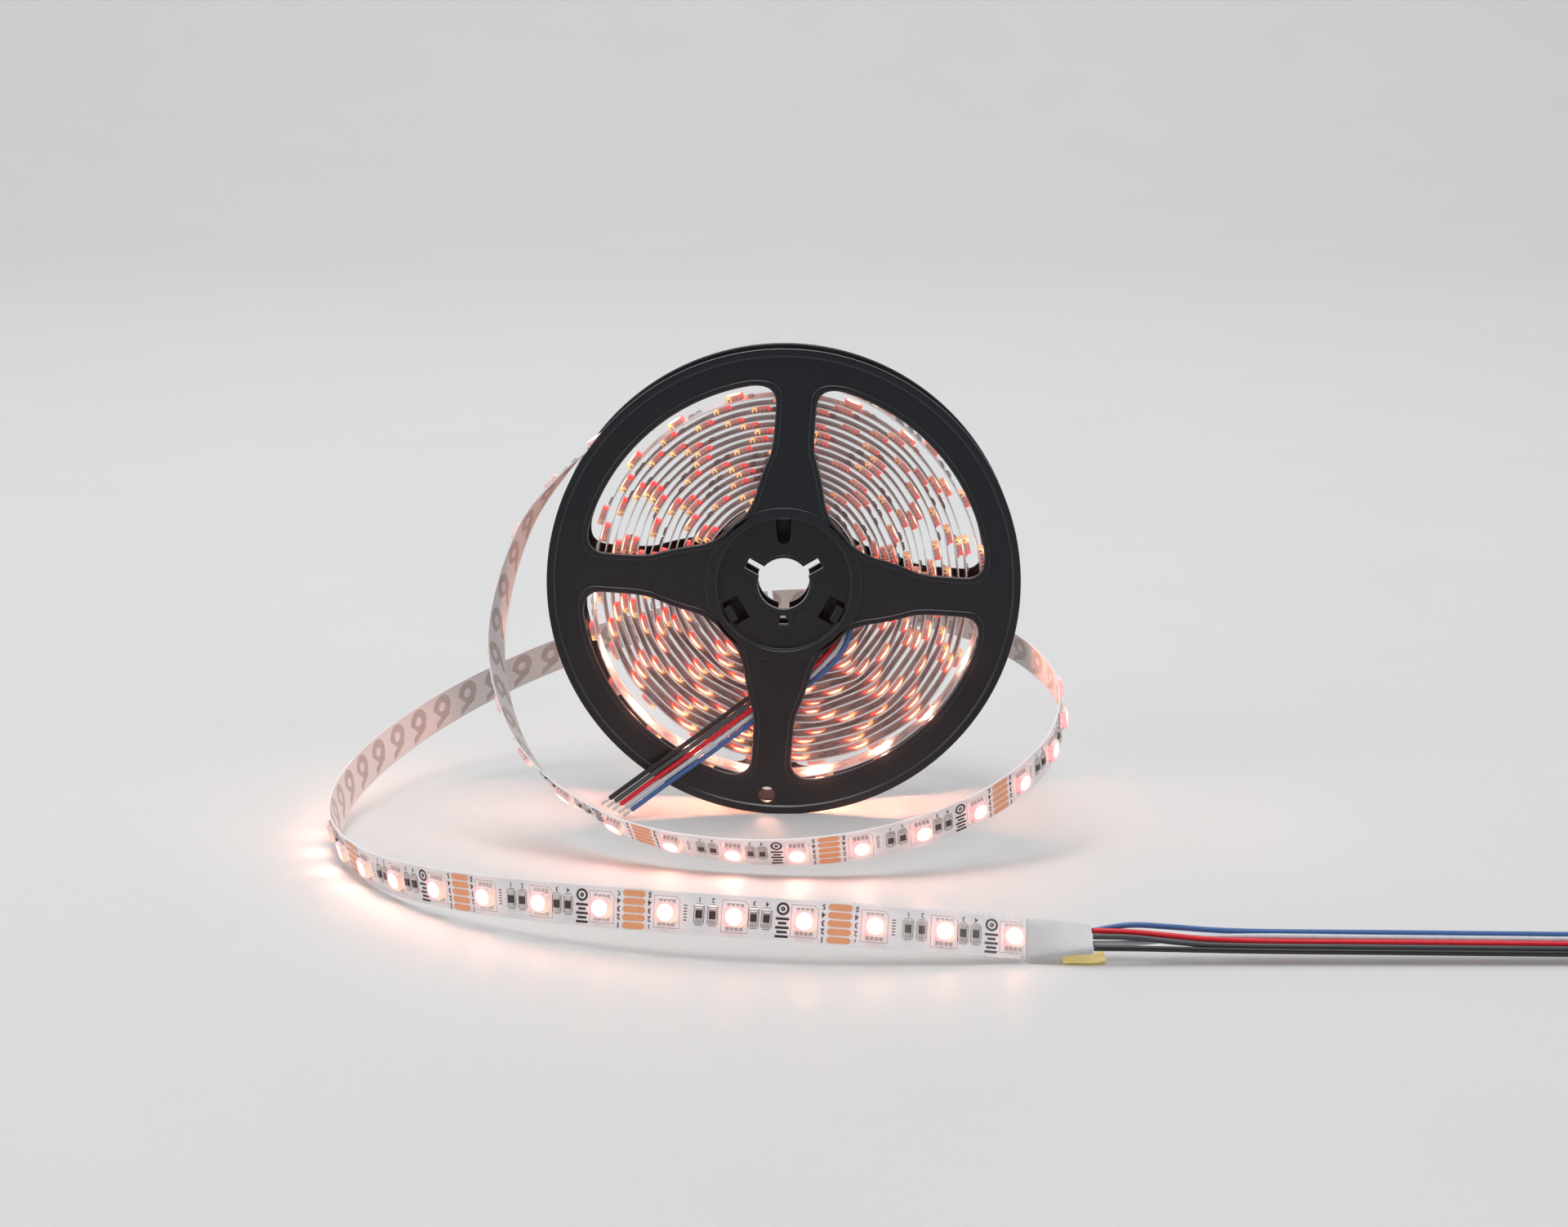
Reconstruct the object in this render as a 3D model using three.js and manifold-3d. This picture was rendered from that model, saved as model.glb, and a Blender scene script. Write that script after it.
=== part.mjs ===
// Strip light reel: a two-part plastic reel standing on its rims, wound with a
// flexible light strip whose outer end runs off in two open loops.
// Millimetres, +Z up. The floor is z = 0 and the reel's axis runs along Y. Every piece is drawn
// about the reel's middle; the whole is then moved so that the origin lies under the middle of
// the object, its leads left out.
import * as THREE from 'three';
import { mergeVertices } from 'three/addons/utils/BufferGeometryUtils.js';
import Module from 'manifold-3d';

const wasm = await Module();
wasm.setup();

// Reel
const REEL_R = 65.5;
const RIM_SIDES = 72;
const REEL_WIDTH = 14.8;
const GAP_INSIDE = 12.4;
const RELIEF = 0.3;
const BEAD_W = 1.9;
const RIM_BAND = 9.5;
const WINDOW_OUTER_R = REEL_R - RIM_BAND;
const LIP_W = 1.7;
const SPOKE_TURN = -4;
const BARREL_R = 19.7;
const BARREL_WALL = 1.1;
const COLLAR_W = 2.0;
const WINDOW_INNER_R = BARREL_R + COLLAR_W;
const RECESS_R = BARREL_R - BARREL_WALL;
const RECESS_FLOOR = 5.0;
const HUB_FLOOR_T = 1.2;
const HUB_LIP_H = 0.6;
const HUB_LIP_W = 1.0;
const BORE_R = 7.2;
const KEYWAY_W = 3.0;
const KEYWAY_R = 11.7;
const HALF_GAP = 0.15;
const SMALL_HOLE_R = 2.25;
const SMALL_HOLE_IN = 5.3;
const SMALL_HOLE_AT = REEL_R - SMALL_HOLE_IN;
const AXIS_Z = REEL_R * Math.cos(Math.PI / RIM_SIDES);
const ORIGIN_SHIFT = [22.7, 38.3];
const HALF_W = REEL_WIDTH / 2;
const INNER_FACE = GAP_INSIDE / 2;
const PLATE_TOP = HALF_W - RELIEF;

// Strip
const STRIP_W = 10;
const STRIP_T = 0.5;
const STRIP_Y = 0.9;
const LED_PITCH = 50 / 3;
const LED_SIZE = 5.0;
const LED_H = 1.6;
const ROLL_START = 40;
const ROLL_CLEAR = 1.05;
const ROLL_R0 = BARREL_R + ROLL_CLEAR;
const TURN_PITCH = 2.05;
const LOOSE_TURN_R = REEL_R - 10.2;
const LOOSE_TURN_RISE = 1.5;
const LOOSE_TURN_ANGLE = 288;
const ROLL_TO_LOOSE = 3.0;
const TURNS = Math.floor((LOOSE_TURN_R - ROLL_TO_LOOSE - ROLL_R0) / TURN_PITCH) + 140 / 360;
const LEAD_BULGE = 3.1;
const ROLL_STEP = 360 / 26;
const JOINT_GAP = 0.3;
const SEAT = 0.3;

// Leads
const WIRE_R = 0.7;
const WIRE_SIDES = 8;
const WIRE_PITCH = 1.55;
const TIP_R = 0.4;
const TIP_LEN = 2.6;
const FILM_T = 0.25;
const FILM_SIDE = 0.3;
const CLEAR_LEN = 42;

const rad = (deg) => (deg * Math.PI) / 180;
const vec = (x, y, z) => new THREE.Vector3(x, y, z);

// Where the free strip runs: a point on its middle line, then the way its upper edge points.
const STRIP_ROUTE = [
  [-20.8, 0.9, 118.5, 0, -1, 0],
  [-50.7, 0.7, 104.3, 0, -1, 0],
  [-62.9, -1.0, 93.0, -0.08, -0.97, 0.22],
  [-71.9, -5.9, 79.9, -0.2, -0.89, 0.4],
  [-78.3, -21.0, 50.7, -0.36, -0.81, 0.46],
  [-68.2, -40.5, 25.8, -0.29, -0.8, 0.52],
  [-43.9, -57.7, 11.5, -0.16, -0.73, 0.66],
  [-12.6, -67.7, 7.1, -0.08, -0.59, 0.81],
  [20.6, -68.6, 8.9, -0.06, -0.43, 0.9],
  [51.2, -57.9, 15.7, -0.08, -0.35, 0.93],
  [72.1, -34.7, 25.9, -0.11, -0.31, 0.95],
  [75.8, -3.6, 35.9, -0.13, -0.29, 0.95],
  [62.3, 25.7, 43.1, -0.13, -0.3, 0.95],
  [37.8, 47.7, 46.8, -0.12, -0.3, 0.95],
  [7.0, 60.0, 46.5, -0.14, -0.32, 0.94],
  [-25.9, 62.4, 42.5, -0.14, -0.32, 0.94],
  [-57.6, 55.5, 35.5, -0.15, -0.29, 0.95],
  [-85.7, 40.1, 26.6, -0.19, -0.22, 0.96],
  [-107.7, 16.8, 17.5, -0.25, -0.14, 0.96],
  [-120.1, -13.0, 10.2, -0.27, -0.12, 0.95],
  [-119.8, -45.8, 6.0, -0.26, -0.12, 0.96],
  [-106.9, -76.3, 5.2, -0.19, -0.09, 0.98],
  [-85.3, -101.6, 7.3, -0.1, -0.01, 1.0],
  [-57.9, -120.3, 9.7, -0.01, 0.1, 0.99],
  [-26.8, -132.1, 10.9, 0.05, 0.23, 0.97],
  [6.1, -137.2, 10.2, 0.07, 0.35, 0.93],
  [39.2, -136.6, 7.5, 0.05, 0.48, 0.88],
  [58.6, -134.6, 5.2, 0.04, 0.56, 0.83],
];
const LAST_LED_BEFORE_END = 3.0;
const SPLICE_AT = [14, 446];

// Middle line of the outer lead and its five wires: along X, then across and off the flat.
const LEAD_START = [74.6, -135.6, 5.4];
const LEAD_END = [223, -134.6, 3.9];
const LEAD_ACROSS = [0, 0.87, 0.5];
const OUTER_WIRES = {
  blue: [[0, 3.2, -0.6], [4.5, 3.5, 0.5], [9.5, 3.7, 1.2], [19.5, 3.5, 0.8], [28, 3.2, 0.3], [38, 3.1, 0]],
  white: [[0, -0.6, -0.8], [9.5, -0.2, -0.85], [19.5, 1.1, -0.85], [26, 1.5, -0.5], [38, 1.55, 0]],
  red: [[0, 2.1, 0.85], [9.5, 1.7, 0.85], [19.5, 0.6, 0.85], [26, 0.05, 0.6], [38, 0, 0]],
  grey: [[0, 0.2, 0.85], [9.5, 0.0, 0.85], [19.5, -1.1, 0.6], [26, -1.5, 0.3], [38, -1.55, 0]],
  black: [[0, -3.2, 0.5], [9.5, -3.0, 0.3], [38, -3.1, 0]],
};

// Inner lead: round the barrel (angle, height over the barrel, y), then straight out behind the
// lower spoke and over the front rim.
const INNER_ORDER = ['blue', 'white', 'red', 'grey', 'black'];
const INNER_ROUND = {
  blue: [[6, 1.1, -2.9], [-18, 1.7, -5.1], [-35, 3.1, -5.15], [-50, 5.6, -5.15]],
  white: [[6, 1.1, -1.0], [-18, 1.4, -3.1], [-35, 2, -3.6], [-50, 3.9, -5.1]],
  red: [[6, 1.1, 0.9], [-18, 1.2, -1.0], [-35, 1.7, -2.1], [-50, 2.7, -4.1], [-62, 4, -5.1]],
  grey: [[6, 1.1, 2.8], [-18, 1.1, 1.0], [-35, 1.2, -0.5], [-50, 1.8, -2.4], [-62, 2.5, -4.3]],
  black: [[6, 1.1, 4.7], [-18, 1.1, 3.0], [-35, 1, 1.2], [-50, 0.9, -0.9], [-62, 1.1, -3.1]],
};
const INNER_DIR = [-0.82, -0.572];
const INNER_FOOT = BARREL_R + 4.6;
const INNER_OUT = [[9, -5.15], [19, -5.15], [30, -5.2], [38, -6.9], [46, -8.6], [58, -9.8], [70.8, -12.6]];
const INNER_STAGGER = 0.75;

// Shared helpers

function toManifold(geometry) {
  const g = geometry.clone();
  for (const name of Object.keys(g.attributes)) {
    if (name !== 'position') g.deleteAttribute(name);
  }
  const merged = mergeVertices(g, 1e-4);
  const mesh = new wasm.Mesh({
    numProp: 3,
    vertProperties: new Float32Array(merged.attributes.position.array),
    triVerts: new Uint32Array(merged.index.array),
  });
  mesh.merge();
  return new wasm.Manifold(mesh);
}

function fromManifold(solid) {
  const mesh = solid.getMesh();
  const g = new THREE.BufferGeometry();
  g.setAttribute('position', new THREE.BufferAttribute(new Float32Array(mesh.vertProperties), 3));
  g.setIndex(new THREE.BufferAttribute(new Uint32Array(mesh.triVerts), 1));
  g.computeVertexNormals();
  return g;
}

function addAll(list) {
  return list.map(toManifold).reduce((a, b) => a.add(b));
}

function cutAll(solid, list) {
  return list.map(toManifold).reduce((a, b) => a.subtract(b), solid);
}

function ringPoints(r, sides) {
  const points = [];
  for (let i = 0; i < sides; i += 1) {
    const a = ((i + 0.5) / sides) * 2 * Math.PI;
    points.push(new THREE.Vector2(r * Math.cos(a), r * Math.sin(a)));
  }
  return points;
}

// A closed profile of [radius, height] turned about Z.
function turned(profile, sides) {
  const points = profile.map(([r, z]) => new THREE.Vector2(r, z));
  points.push(points[0].clone());
  const g = new THREE.LatheGeometry(points, sides, Math.PI / sides);
  g.rotateX(Math.PI / 2);
  return g;
}

function plate(shape, z0, z1, curveSegments = 4) {
  const g = new THREE.ExtrudeGeometry(shape, { depth: z1 - z0, bevelEnabled: false, curveSegments });
  g.translate(0, 0, z0);
  return g;
}

function box(w, d, h, x, y, z, turn = 0) {
  const g = new THREE.BoxGeometry(w, d, h);
  g.translate(x, y, z);
  g.rotateZ(rad(turn));
  return g;
}

function spline(points) {
  return new THREE.CatmullRomCurve3(points, false, 'centripetal');
}

// A closed band through stations of four corners each.
function loft(rings) {
  const n = rings[0].length;
  const position = [];
  const index = [];
  rings.forEach((ring) => ring.forEach((p) => position.push(p.x, p.y, p.z)));
  for (let i = 0; i + 1 < rings.length; i += 1) {
    for (let k = 0; k < n; k += 1) {
      const a = i * n + k;
      const b = i * n + ((k + 1) % n);
      index.push(a, b + n, b, a, a + n, b + n);
    }
  }
  const last = (rings.length - 1) * n;
  for (let k = 1; k + 1 < n; k += 1) {
    index.push(0, k, k + 1);
    index.push(last, last + k + 1, last + k);
  }
  const g = new THREE.BufferGeometry();
  g.setAttribute('position', new THREE.BufferAttribute(new Float32Array(position), 3));
  g.setIndex(index);
  return g;
}

// Reel

// One window between two spokes, grown outwards by off for its lip.
function windowOutline(off) {
  const outer = WINDOW_OUTER_R + off;
  const inner = WINDOW_INNER_R - off;
  const side = 5.55 - off;
  const flare = 8.0 - off;
  const foot = 9.4 - off;
  const knee = WINDOW_INNER_R + 3.3;
  const bend = WINDOW_INNER_R - 1.3 - off * 0.6;
  const reach = outer - 6.5;
  const path = new THREE.Path();
  path.moveTo(30.5, flare);
  path.lineTo(36, 6.2 - off);
  path.lineTo(42, side);
  path.lineTo(reach, side);
  path.quadraticCurveTo(outer - 0.3, side, outer * Math.cos(rad(13)), outer * Math.sin(rad(13)));
  path.absarc(0, 0, outer, rad(13), rad(77), false);
  path.quadraticCurveTo(side, outer - 0.3, side, reach);
  path.lineTo(side, 42);
  path.lineTo(6.2 - off, 36);
  path.lineTo(flare, 30.5);
  path.lineTo(foot, knee);
  path.quadraticCurveTo(foot + 0.9, bend, inner * Math.cos(rad(52)), inner * Math.sin(rad(52)));
  path.absarc(0, 0, inner, rad(52), rad(38), true);
  path.quadraticCurveTo(bend, foot + 0.9, knee, foot);
  path.closePath();
  return path;
}

function quadrantPoints(path, quarter, segments) {
  const turn = rad(SPOKE_TURN + 90 * quarter);
  const points = path.getPoints(segments);
  if (points[0].distanceTo(points[points.length - 1]) < 1e-6) points.pop();
  return points.map((p) => p.clone().rotateAround(new THREE.Vector2(), turn));
}

function flangePlate() {
  const shape = new THREE.Shape(ringPoints(REEL_R, RIM_SIDES));
  for (let quarter = 0; quarter < 4; quarter += 1) {
    shape.holes.push(new THREE.Path(quadrantPoints(windowOutline(0), quarter, 4)));
  }
  const a = rad(SPOKE_TURN - 90.5);
  const hole = ringPoints(SMALL_HOLE_R, 14);
  hole.forEach((p) => p.add(new THREE.Vector2(Math.cos(a), Math.sin(a)).multiplyScalar(SMALL_HOLE_AT)));
  shape.holes.push(new THREE.Path(hole));
  shape.holes.push(new THREE.Path(ringPoints(RECESS_R + 0.5, 40)));
  return plate(shape, INNER_FACE, PLATE_TOP);
}

function windowLip(quarter) {
  const shape = new THREE.Shape(quadrantPoints(windowOutline(LIP_W), quarter, 4));
  shape.holes.push(new THREE.Path(quadrantPoints(windowOutline(0), quarter, 4)));
  return plate(shape, INNER_FACE + 0.4, HALF_W);
}

function rimBead() {
  return turned([
    [REEL_R - BEAD_W - 0.4, PLATE_TOP - 0.2],
    [REEL_R, PLATE_TOP - 0.2],
    [REEL_R, HALF_W - 0.2],
    [REEL_R - 0.3, HALF_W],
    [REEL_R - BEAD_W, HALF_W],
    [REEL_R - BEAD_W - 0.4, PLATE_TOP],
  ], RIM_SIDES);
}

// Collar, recessed floor and half of the barrel in one turned profile.
function hubCore() {
  return turned([
    [BORE_R, RECESS_FLOOR - HUB_FLOOR_T],
    [RECESS_R - 0.1, RECESS_FLOOR - HUB_FLOOR_T],
    [RECESS_R - 0.1, HALF_GAP],
    [BARREL_R, HALF_GAP],
    [BARREL_R, INNER_FACE],
    [WINDOW_INNER_R, INNER_FACE],
    [WINDOW_INNER_R, HALF_W - 0.3],
    [WINDOW_INNER_R - 0.3, HALF_W],
    [RECESS_R + 0.5, HALF_W],
    [RECESS_R, HALF_W - 0.4],
    [RECESS_R, RECESS_FLOOR],
    [BORE_R, RECESS_FLOOR],
  ], 40);
}

function keyways(angles) {
  return angles.map((a) => box(
    KEYWAY_R - BORE_R + 3, KEYWAY_W, 3,
    (KEYWAY_R + BORE_R - 3) / 2, 0, RECESS_FLOOR - 0.5, a,
  ));
}

// A low lip stands round the bore and the keyways.
function hubLip(angles) {
  const ring = turned([
    [BORE_R, RECESS_FLOOR - 0.2],
    [BORE_R + HUB_LIP_W, RECESS_FLOOR - 0.2],
    [BORE_R + HUB_LIP_W, RECESS_FLOOR + HUB_LIP_H - 0.2],
    [BORE_R + HUB_LIP_W - 0.2, RECESS_FLOOR + HUB_LIP_H],
    [BORE_R, RECESS_FLOOR + HUB_LIP_H],
  ], 40);
  const walls = angles.map((a) => box(
    KEYWAY_R - BORE_R + HUB_LIP_W, KEYWAY_W + 2 * HUB_LIP_W, HUB_LIP_H + 0.2,
    (KEYWAY_R + BORE_R + HUB_LIP_W) / 2, 0, RECESS_FLOOR + (HUB_LIP_H - 0.2) / 2, a,
  ));
  return [ring, ...walls];
}

// The slot above the bore has a rounded inner end; the two snap windows are oblong.
function snapWindows() {
  const slot = new THREE.Shape();
  slot.moveTo(RECESS_R - 0.5, -1.85);
  slot.lineTo(RECESS_R - 0.5, 1.85);
  slot.lineTo(12.95, 1.85);
  slot.absarc(12.95, 0, 1.85, rad(90), rad(270), false);
  slot.closePath();
  const top = plate(slot, RECESS_FLOOR - 2, RECESS_FLOOR + 1);
  top.rotateZ(rad(90));
  const sides = [210, 330].map((a) => box(5.0, 7.2, 3, 15.4, 0, RECESS_FLOOR - 0.5, a));
  return [top, ...sides];
}

// The lowest keyway is closed in the front half and holds a small four-sided hole.
function closedKeyway() {
  const hole = new THREE.Shape();
  hole.moveTo(9.1, -0.9);
  hole.lineTo(11.5, -1.3);
  hole.lineTo(11.5, 1.3);
  hole.lineTo(9.1, 0.5);
  hole.closePath();
  const g = plate(hole, RECESS_FLOOR - 2, RECESS_FLOOR + 2);
  g.rotateZ(rad(270));
  return g;
}

function reelFront() {
  const lips = [0, 1, 2, 3].map(windowLip);
  const body = addAll([flangePlate(), hubCore(), rimBead(), ...hubLip([30, 150, 270]), ...lips]);
  const sunk = box(3.2, KEYWAY_W, 2, 10.3, 0, RECESS_FLOOR + 1, 270);
  return cutAll(body, [...keyways([30, 150]), ...snapWindows(), sunk, closedKeyway()]);
}

// A snap arm of the rear half: it stands through the front half's window and hooks over its edge.
function snapArm(angle) {
  const frontFloor = RECESS_FLOOR;
  const reach = RECESS_FLOOR + frontFloor;
  const arm = box(1.3, 4.4, reach + 0.7, 16.6, 0, -frontFloor / 2 + RECESS_FLOOR / 2, angle);
  const wedge = new THREE.Shape();
  wedge.moveTo(0, 0);
  wedge.lineTo(0.9, 0);
  wedge.lineTo(0, 1.5);
  wedge.closePath();
  const hook = new THREE.ExtrudeGeometry(wedge, { depth: 4.4, bevelEnabled: false });
  hook.rotateX(Math.PI / 2);
  hook.translate(17.2, 2.2, frontFloor + SEAT);
  hook.rotateZ(rad(angle));
  return [arm, hook];
}

// Built with its outer face to +Z like the front half; the snap arms point inwards from it.
function reelRear() {
  const lips = [0, 1, 2, 3].map(windowLip);
  const body = addAll([flangePlate(), hubCore(), rimBead(), ...lips]);
  return cutAll(body, keyways([30, 150, 270]));
}

// Strip

// One cross-section of the strip: middle point, way along, way its upper edge points.
function stripSection(p, along, top) {
  const t = along.clone().normalize();
  const w = top.clone().addScaledVector(t, -top.dot(t)).normalize();
  const n = new THREE.Vector3().crossVectors(t, w);
  return { p, t, w, n };
}

function bandRing(s, halfW, low, high) {
  const corner = (a, b) => s.p.clone().addScaledVector(s.w, a).addScaledVector(s.n, b);
  return [corner(-halfW, low), corner(-halfW, high), corner(halfW, high), corner(halfW, low)];
}

// Radius of the wound strip at a running angle in degrees; the lead pushes the first turns out.
function rollRadius(angle) {
  const turns = (angle - ROLL_START) / 360;
  const r = ROLL_R0 + TURN_PITCH * turns;
  const from = Math.abs(((((angle + 45) % 360) + 540) % 360) - 180);
  const lobe = from < 62 ? Math.cos(rad((from / 62) * 90)) ** 2 : 0;
  return r + LEAD_BULGE * lobe * Math.exp(-Math.max(turns - 0.8, 0) / 2.6) * Math.min(1, turns * 1.4);
}

// Stations of the wound part: the turns, then the loose last one under the rim.
function rollSections() {
  const end = ROLL_START + TURNS * 360;
  const looseStart = end;
  const list = [];
  const at = (angle, r) => {
    const a = rad(angle);
    const p = vec(r * Math.cos(a), STRIP_Y, AXIS_Z + r * Math.sin(a));
    return stripSection(p, vec(-Math.sin(a), 0, Math.cos(a)), vec(0, -1, 0));
  };
  for (let angle = ROLL_START; angle < end; angle += ROLL_STEP) list.push(at(angle, rollRadius(angle)));
  const rEnd = rollRadius(looseStart);
  for (let k = 0; k <= 20; k += 1) {
    const u = k / 20;
    const rise = 1 - (1 - Math.min(1, u * 6)) ** 2;
    const r = rEnd + (LOOSE_TURN_R - rEnd) * rise + LOOSE_TURN_RISE * u;
    list.push(at(looseStart + u * LOOSE_TURN_ANGLE, r));
  }
  return list;
}

// Stations of the free part, one every step millimetres.
function freeRoute() {
  const points = STRIP_ROUTE.map(([x, y, z]) => vec(x, y, z));
  const tops = STRIP_ROUTE.map(([, , , x, y, z]) => vec(x, y, z));
  const path = spline(points);
  const tilt = spline(tops);
  path.arcLengthDivisions = 1200;
  const length = path.getLength();
  const at = (s) => {
    const u = Math.min(Math.max(s / length, 0), 1);
    const k = path.getUtoTmapping(u);
    return stripSection(path.getPoint(k), path.getTangent(k), tilt.getPoint(k));
  };
  return { at, length };
}

const FREE = freeRoute();

function bandBetween(from, to, steps) {
  const rings = [];
  for (let i = 0; i <= steps; i += 1) {
    rings.push(bandRing(FREE.at(from + ((to - from) * i) / steps), STRIP_W / 2, -STRIP_T / 2, STRIP_T / 2));
  }
  return loft(rings);
}

// A light stands on the strip's outward face.
function ledBlock(s) {
  const g = new THREE.BoxGeometry(LED_SIZE, LED_SIZE, LED_H + STRIP_T / 2);
  const m = new THREE.Matrix4().makeBasis(s.t, s.w, s.n);
  g.translate(0, 0, (LED_H + STRIP_T / 2) / 2);
  g.applyMatrix4(m);
  g.translate(s.p.x, s.p.y, s.p.z);
  return g;
}

function ledPlaces(from, to) {
  const places = [];
  for (let s = FREE.length - LAST_LED_BEFORE_END; s > 0; s -= LED_PITCH) {
    if (s > from + LED_SIZE && s < to - LED_SIZE / 2) places.push(s);
  }
  return places;
}

function loopSolid(from, to) {
  const steps = Math.round((to - from) / 8.4);
  const band = bandBetween(from, to, steps);
  return addAll([band, ...ledPlaces(from, to).map((s) => ledBlock(FREE.at(s)))]);
}

function rollSolid() {
  const rings = rollSections().map((s) => bandRing(s, STRIP_W / 2, -STRIP_T / 2, STRIP_T / 2));
  return loft(rings);
}

// The clear film sleeve slipped over the last lights.
function clearSleeve() {
  const from = FREE.length - CLEAR_LEN;
  const to = FREE.length;
  const section = (under, over, side) => {
    const rings = [];
    for (let i = 0; i <= 5; i += 1) {
      rings.push(bandRing(FREE.at(from + ((to - from) * i) / 5), side, under, over));
    }
    return toManifold(loft(rings));
  };
  const low = -STRIP_T / 2 - SEAT;
  const high = STRIP_T / 2 + LED_H + SEAT;
  const halfW = STRIP_W / 2 + FILM_SIDE;
  const outside = section(low - FILM_T, high + FILM_T, halfW + FILM_T);
  const rings = [];
  for (let i = -1; i <= 6; i += 1) {
    const s = from + ((to - from) * Math.min(Math.max(i, 0), 5)) / 5;
    const section2 = FREE.at(s);
    if (i < 0) section2.p = section2.p.clone().addScaledVector(section2.t, -2);
    if (i > 5) section2.p = section2.p.clone().addScaledVector(section2.t, 2);
    rings.push(bandRing(section2, halfW, low, high));
  }
  return outside.subtract(toManifold(loft(rings)));
}

// Leads

function wireTube(points, radius, steps) {
  const circle = new THREE.Shape(ringPoints(radius, WIRE_SIDES));
  return new THREE.ExtrudeGeometry(circle, { steps, extrudePath: spline(points) });
}

function leadFrame() {
  const along = vec(...LEAD_END).sub(vec(...LEAD_START)).normalize();
  const across = vec(...LEAD_ACROSS).normalize();
  const off = new THREE.Vector3().crossVectors(along, across);
  return { along, across, off };
}

function outerWirePoints(colour) {
  const { along, across, off } = leadFrame();
  const start = vec(...LEAD_START);
  const length = vec(...LEAD_END).distanceTo(start);
  const place = (x, a, b) => start.clone().addScaledVector(along, x)
    .addScaledVector(across, a).addScaledVector(off, b);
  const list = OUTER_WIRES[colour];
  const [, a, b] = list[list.length - 1];
  const points = list.map(([x, p, q]) => place(x, p, q));
  [70, 110, length].forEach((x) => points.push(place(x, a, b)));
  return points;
}

function innerWirePoints(colour) {
  const row = INNER_ORDER.indexOf(colour);
  const points = INNER_ROUND[colour].map(([angle, height, y]) => {
    const a = rad(angle);
    const r = BARREL_R + height;
    return vec(r * Math.cos(a), y, AXIS_Z + r * Math.sin(a));
  });
  const [dx, dz] = INNER_DIR;
  const away = INNER_FOOT + WIRE_PITCH * (2 - row);
  INNER_OUT.forEach(([along, y], i) => {
    const u = along + (i === INNER_OUT.length - 1 ? INNER_STAGGER * row : 0);
    points.push(vec(-dz * away + dx * u, y, AXIS_Z + dx * away + dz * u));
  });
  return points;
}

// The tinned core stands out of the wire's end.
function wireTip(points) {
  const end = points[points.length - 1];
  const along = end.clone().sub(points[points.length - 2]).normalize();
  const from = end.clone().addScaledVector(along, SEAT * 0.2);
  return wireTube([from, from.clone().addScaledVector(along, TIP_LEN)], TIP_R, 1);
}

// Sleeves and tab

// Heat-shrunk lump over the strip's soldered end, turning from the strip's slant to the lead's.
function endSleeve() {
  const tip = FREE.at(FREE.length);
  const { along, across } = leadFrame();
  const rings = [];
  const from = tip.p.clone().addScaledVector(tip.t, JOINT_GAP);
  const to = vec(...LEAD_START).addScaledVector(along, -SEAT);
  const count = 4;
  for (let i = 0; i <= count; i += 1) {
    const u = i / count;
    const p = from.clone().lerp(to, u);
    const t = tip.t.clone().lerp(along, u);
    const s = stripSection(p, t, tip.w.clone().lerp(across, u));
    const halfW = 5.4 - 1.0 * u;
    rings.push(bandRing(s, halfW, -0.8 - 0.8 * u, 1.4 + 0.2 * u));
  }
  return loft(rings);
}

// The inner end's sleeve lies on the barrel, where the strip starts and the wires leave.
function innerSleeve() {
  const rings = [];
  const from = 6 + 0.9;
  const to = ROLL_START - 0.9;
  for (let i = 0; i <= 4; i += 1) {
    const a = rad(from + ((to - from) * i) / 4);
    const r = ROLL_R0 + 0.1;
    const p = vec(r * Math.cos(a), STRIP_Y, AXIS_Z + r * Math.sin(a));
    const s = stripSection(p, vec(-Math.sin(a), 0, Math.cos(a)), vec(0, -1, 0));
    rings.push(bandRing(s, STRIP_W / 2, -0.7, 0.7));
  }
  return loft(rings);
}

function tapeTab() {
  const g = new THREE.BoxGeometry(10.4, 6.6, 0.25);
  g.rotateX(rad(4));
  g.rotateZ(rad(3));
  g.translate(72.4, -135.6, 0.75);
  return g;
}

// Materials

const REEL_BLACK = [0x2b2b2f, 0.48, 0];
const STRIP_WHITE = [0xe9eaec, 0.55, 0];
const SLEEVE_WHITE = [0xf2f2f3, 0.45, 0];
const CLEAR = [0xeef3f6, 0.12, 0];
const TAPE = [0xd9c46a, 0.5, 0];
const TIN = [0xc9ccd0, 0.35, 0.9];
const WIRE_COLOURS = {
  blue: 0x3f6da8,
  white: 0xd9dde2,
  red: 0xd0142a,
  grey: 0x4c5053,
  black: 0x1b1b1e,
};

function piece(name, geometry, [colour, roughness, metalness], extra = {}) {
  const g = geometry;
  if (!g.attributes.normal) g.computeVertexNormals();
  const material = new THREE.MeshStandardMaterial({ color: colour, roughness, metalness, ...extra });
  const mesh = new THREE.Mesh(g, material);
  mesh.name = name;
  return mesh;
}

// The front half faces -Y, the rear half is its mirror twin without the snap windows.
function faceFront(geometry) {
  geometry.rotateX(Math.PI / 2);
  geometry.translate(0, 0, AXIS_Z);
  return geometry;
}

function rearSolid() {
  const flipped = reelRear().scale([1, 1, -1]);
  const arms = [210, 330].flatMap(snapArm);
  return arms.map(toManifold).reduce((a, b) => a.add(b), flipped);
}

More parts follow.
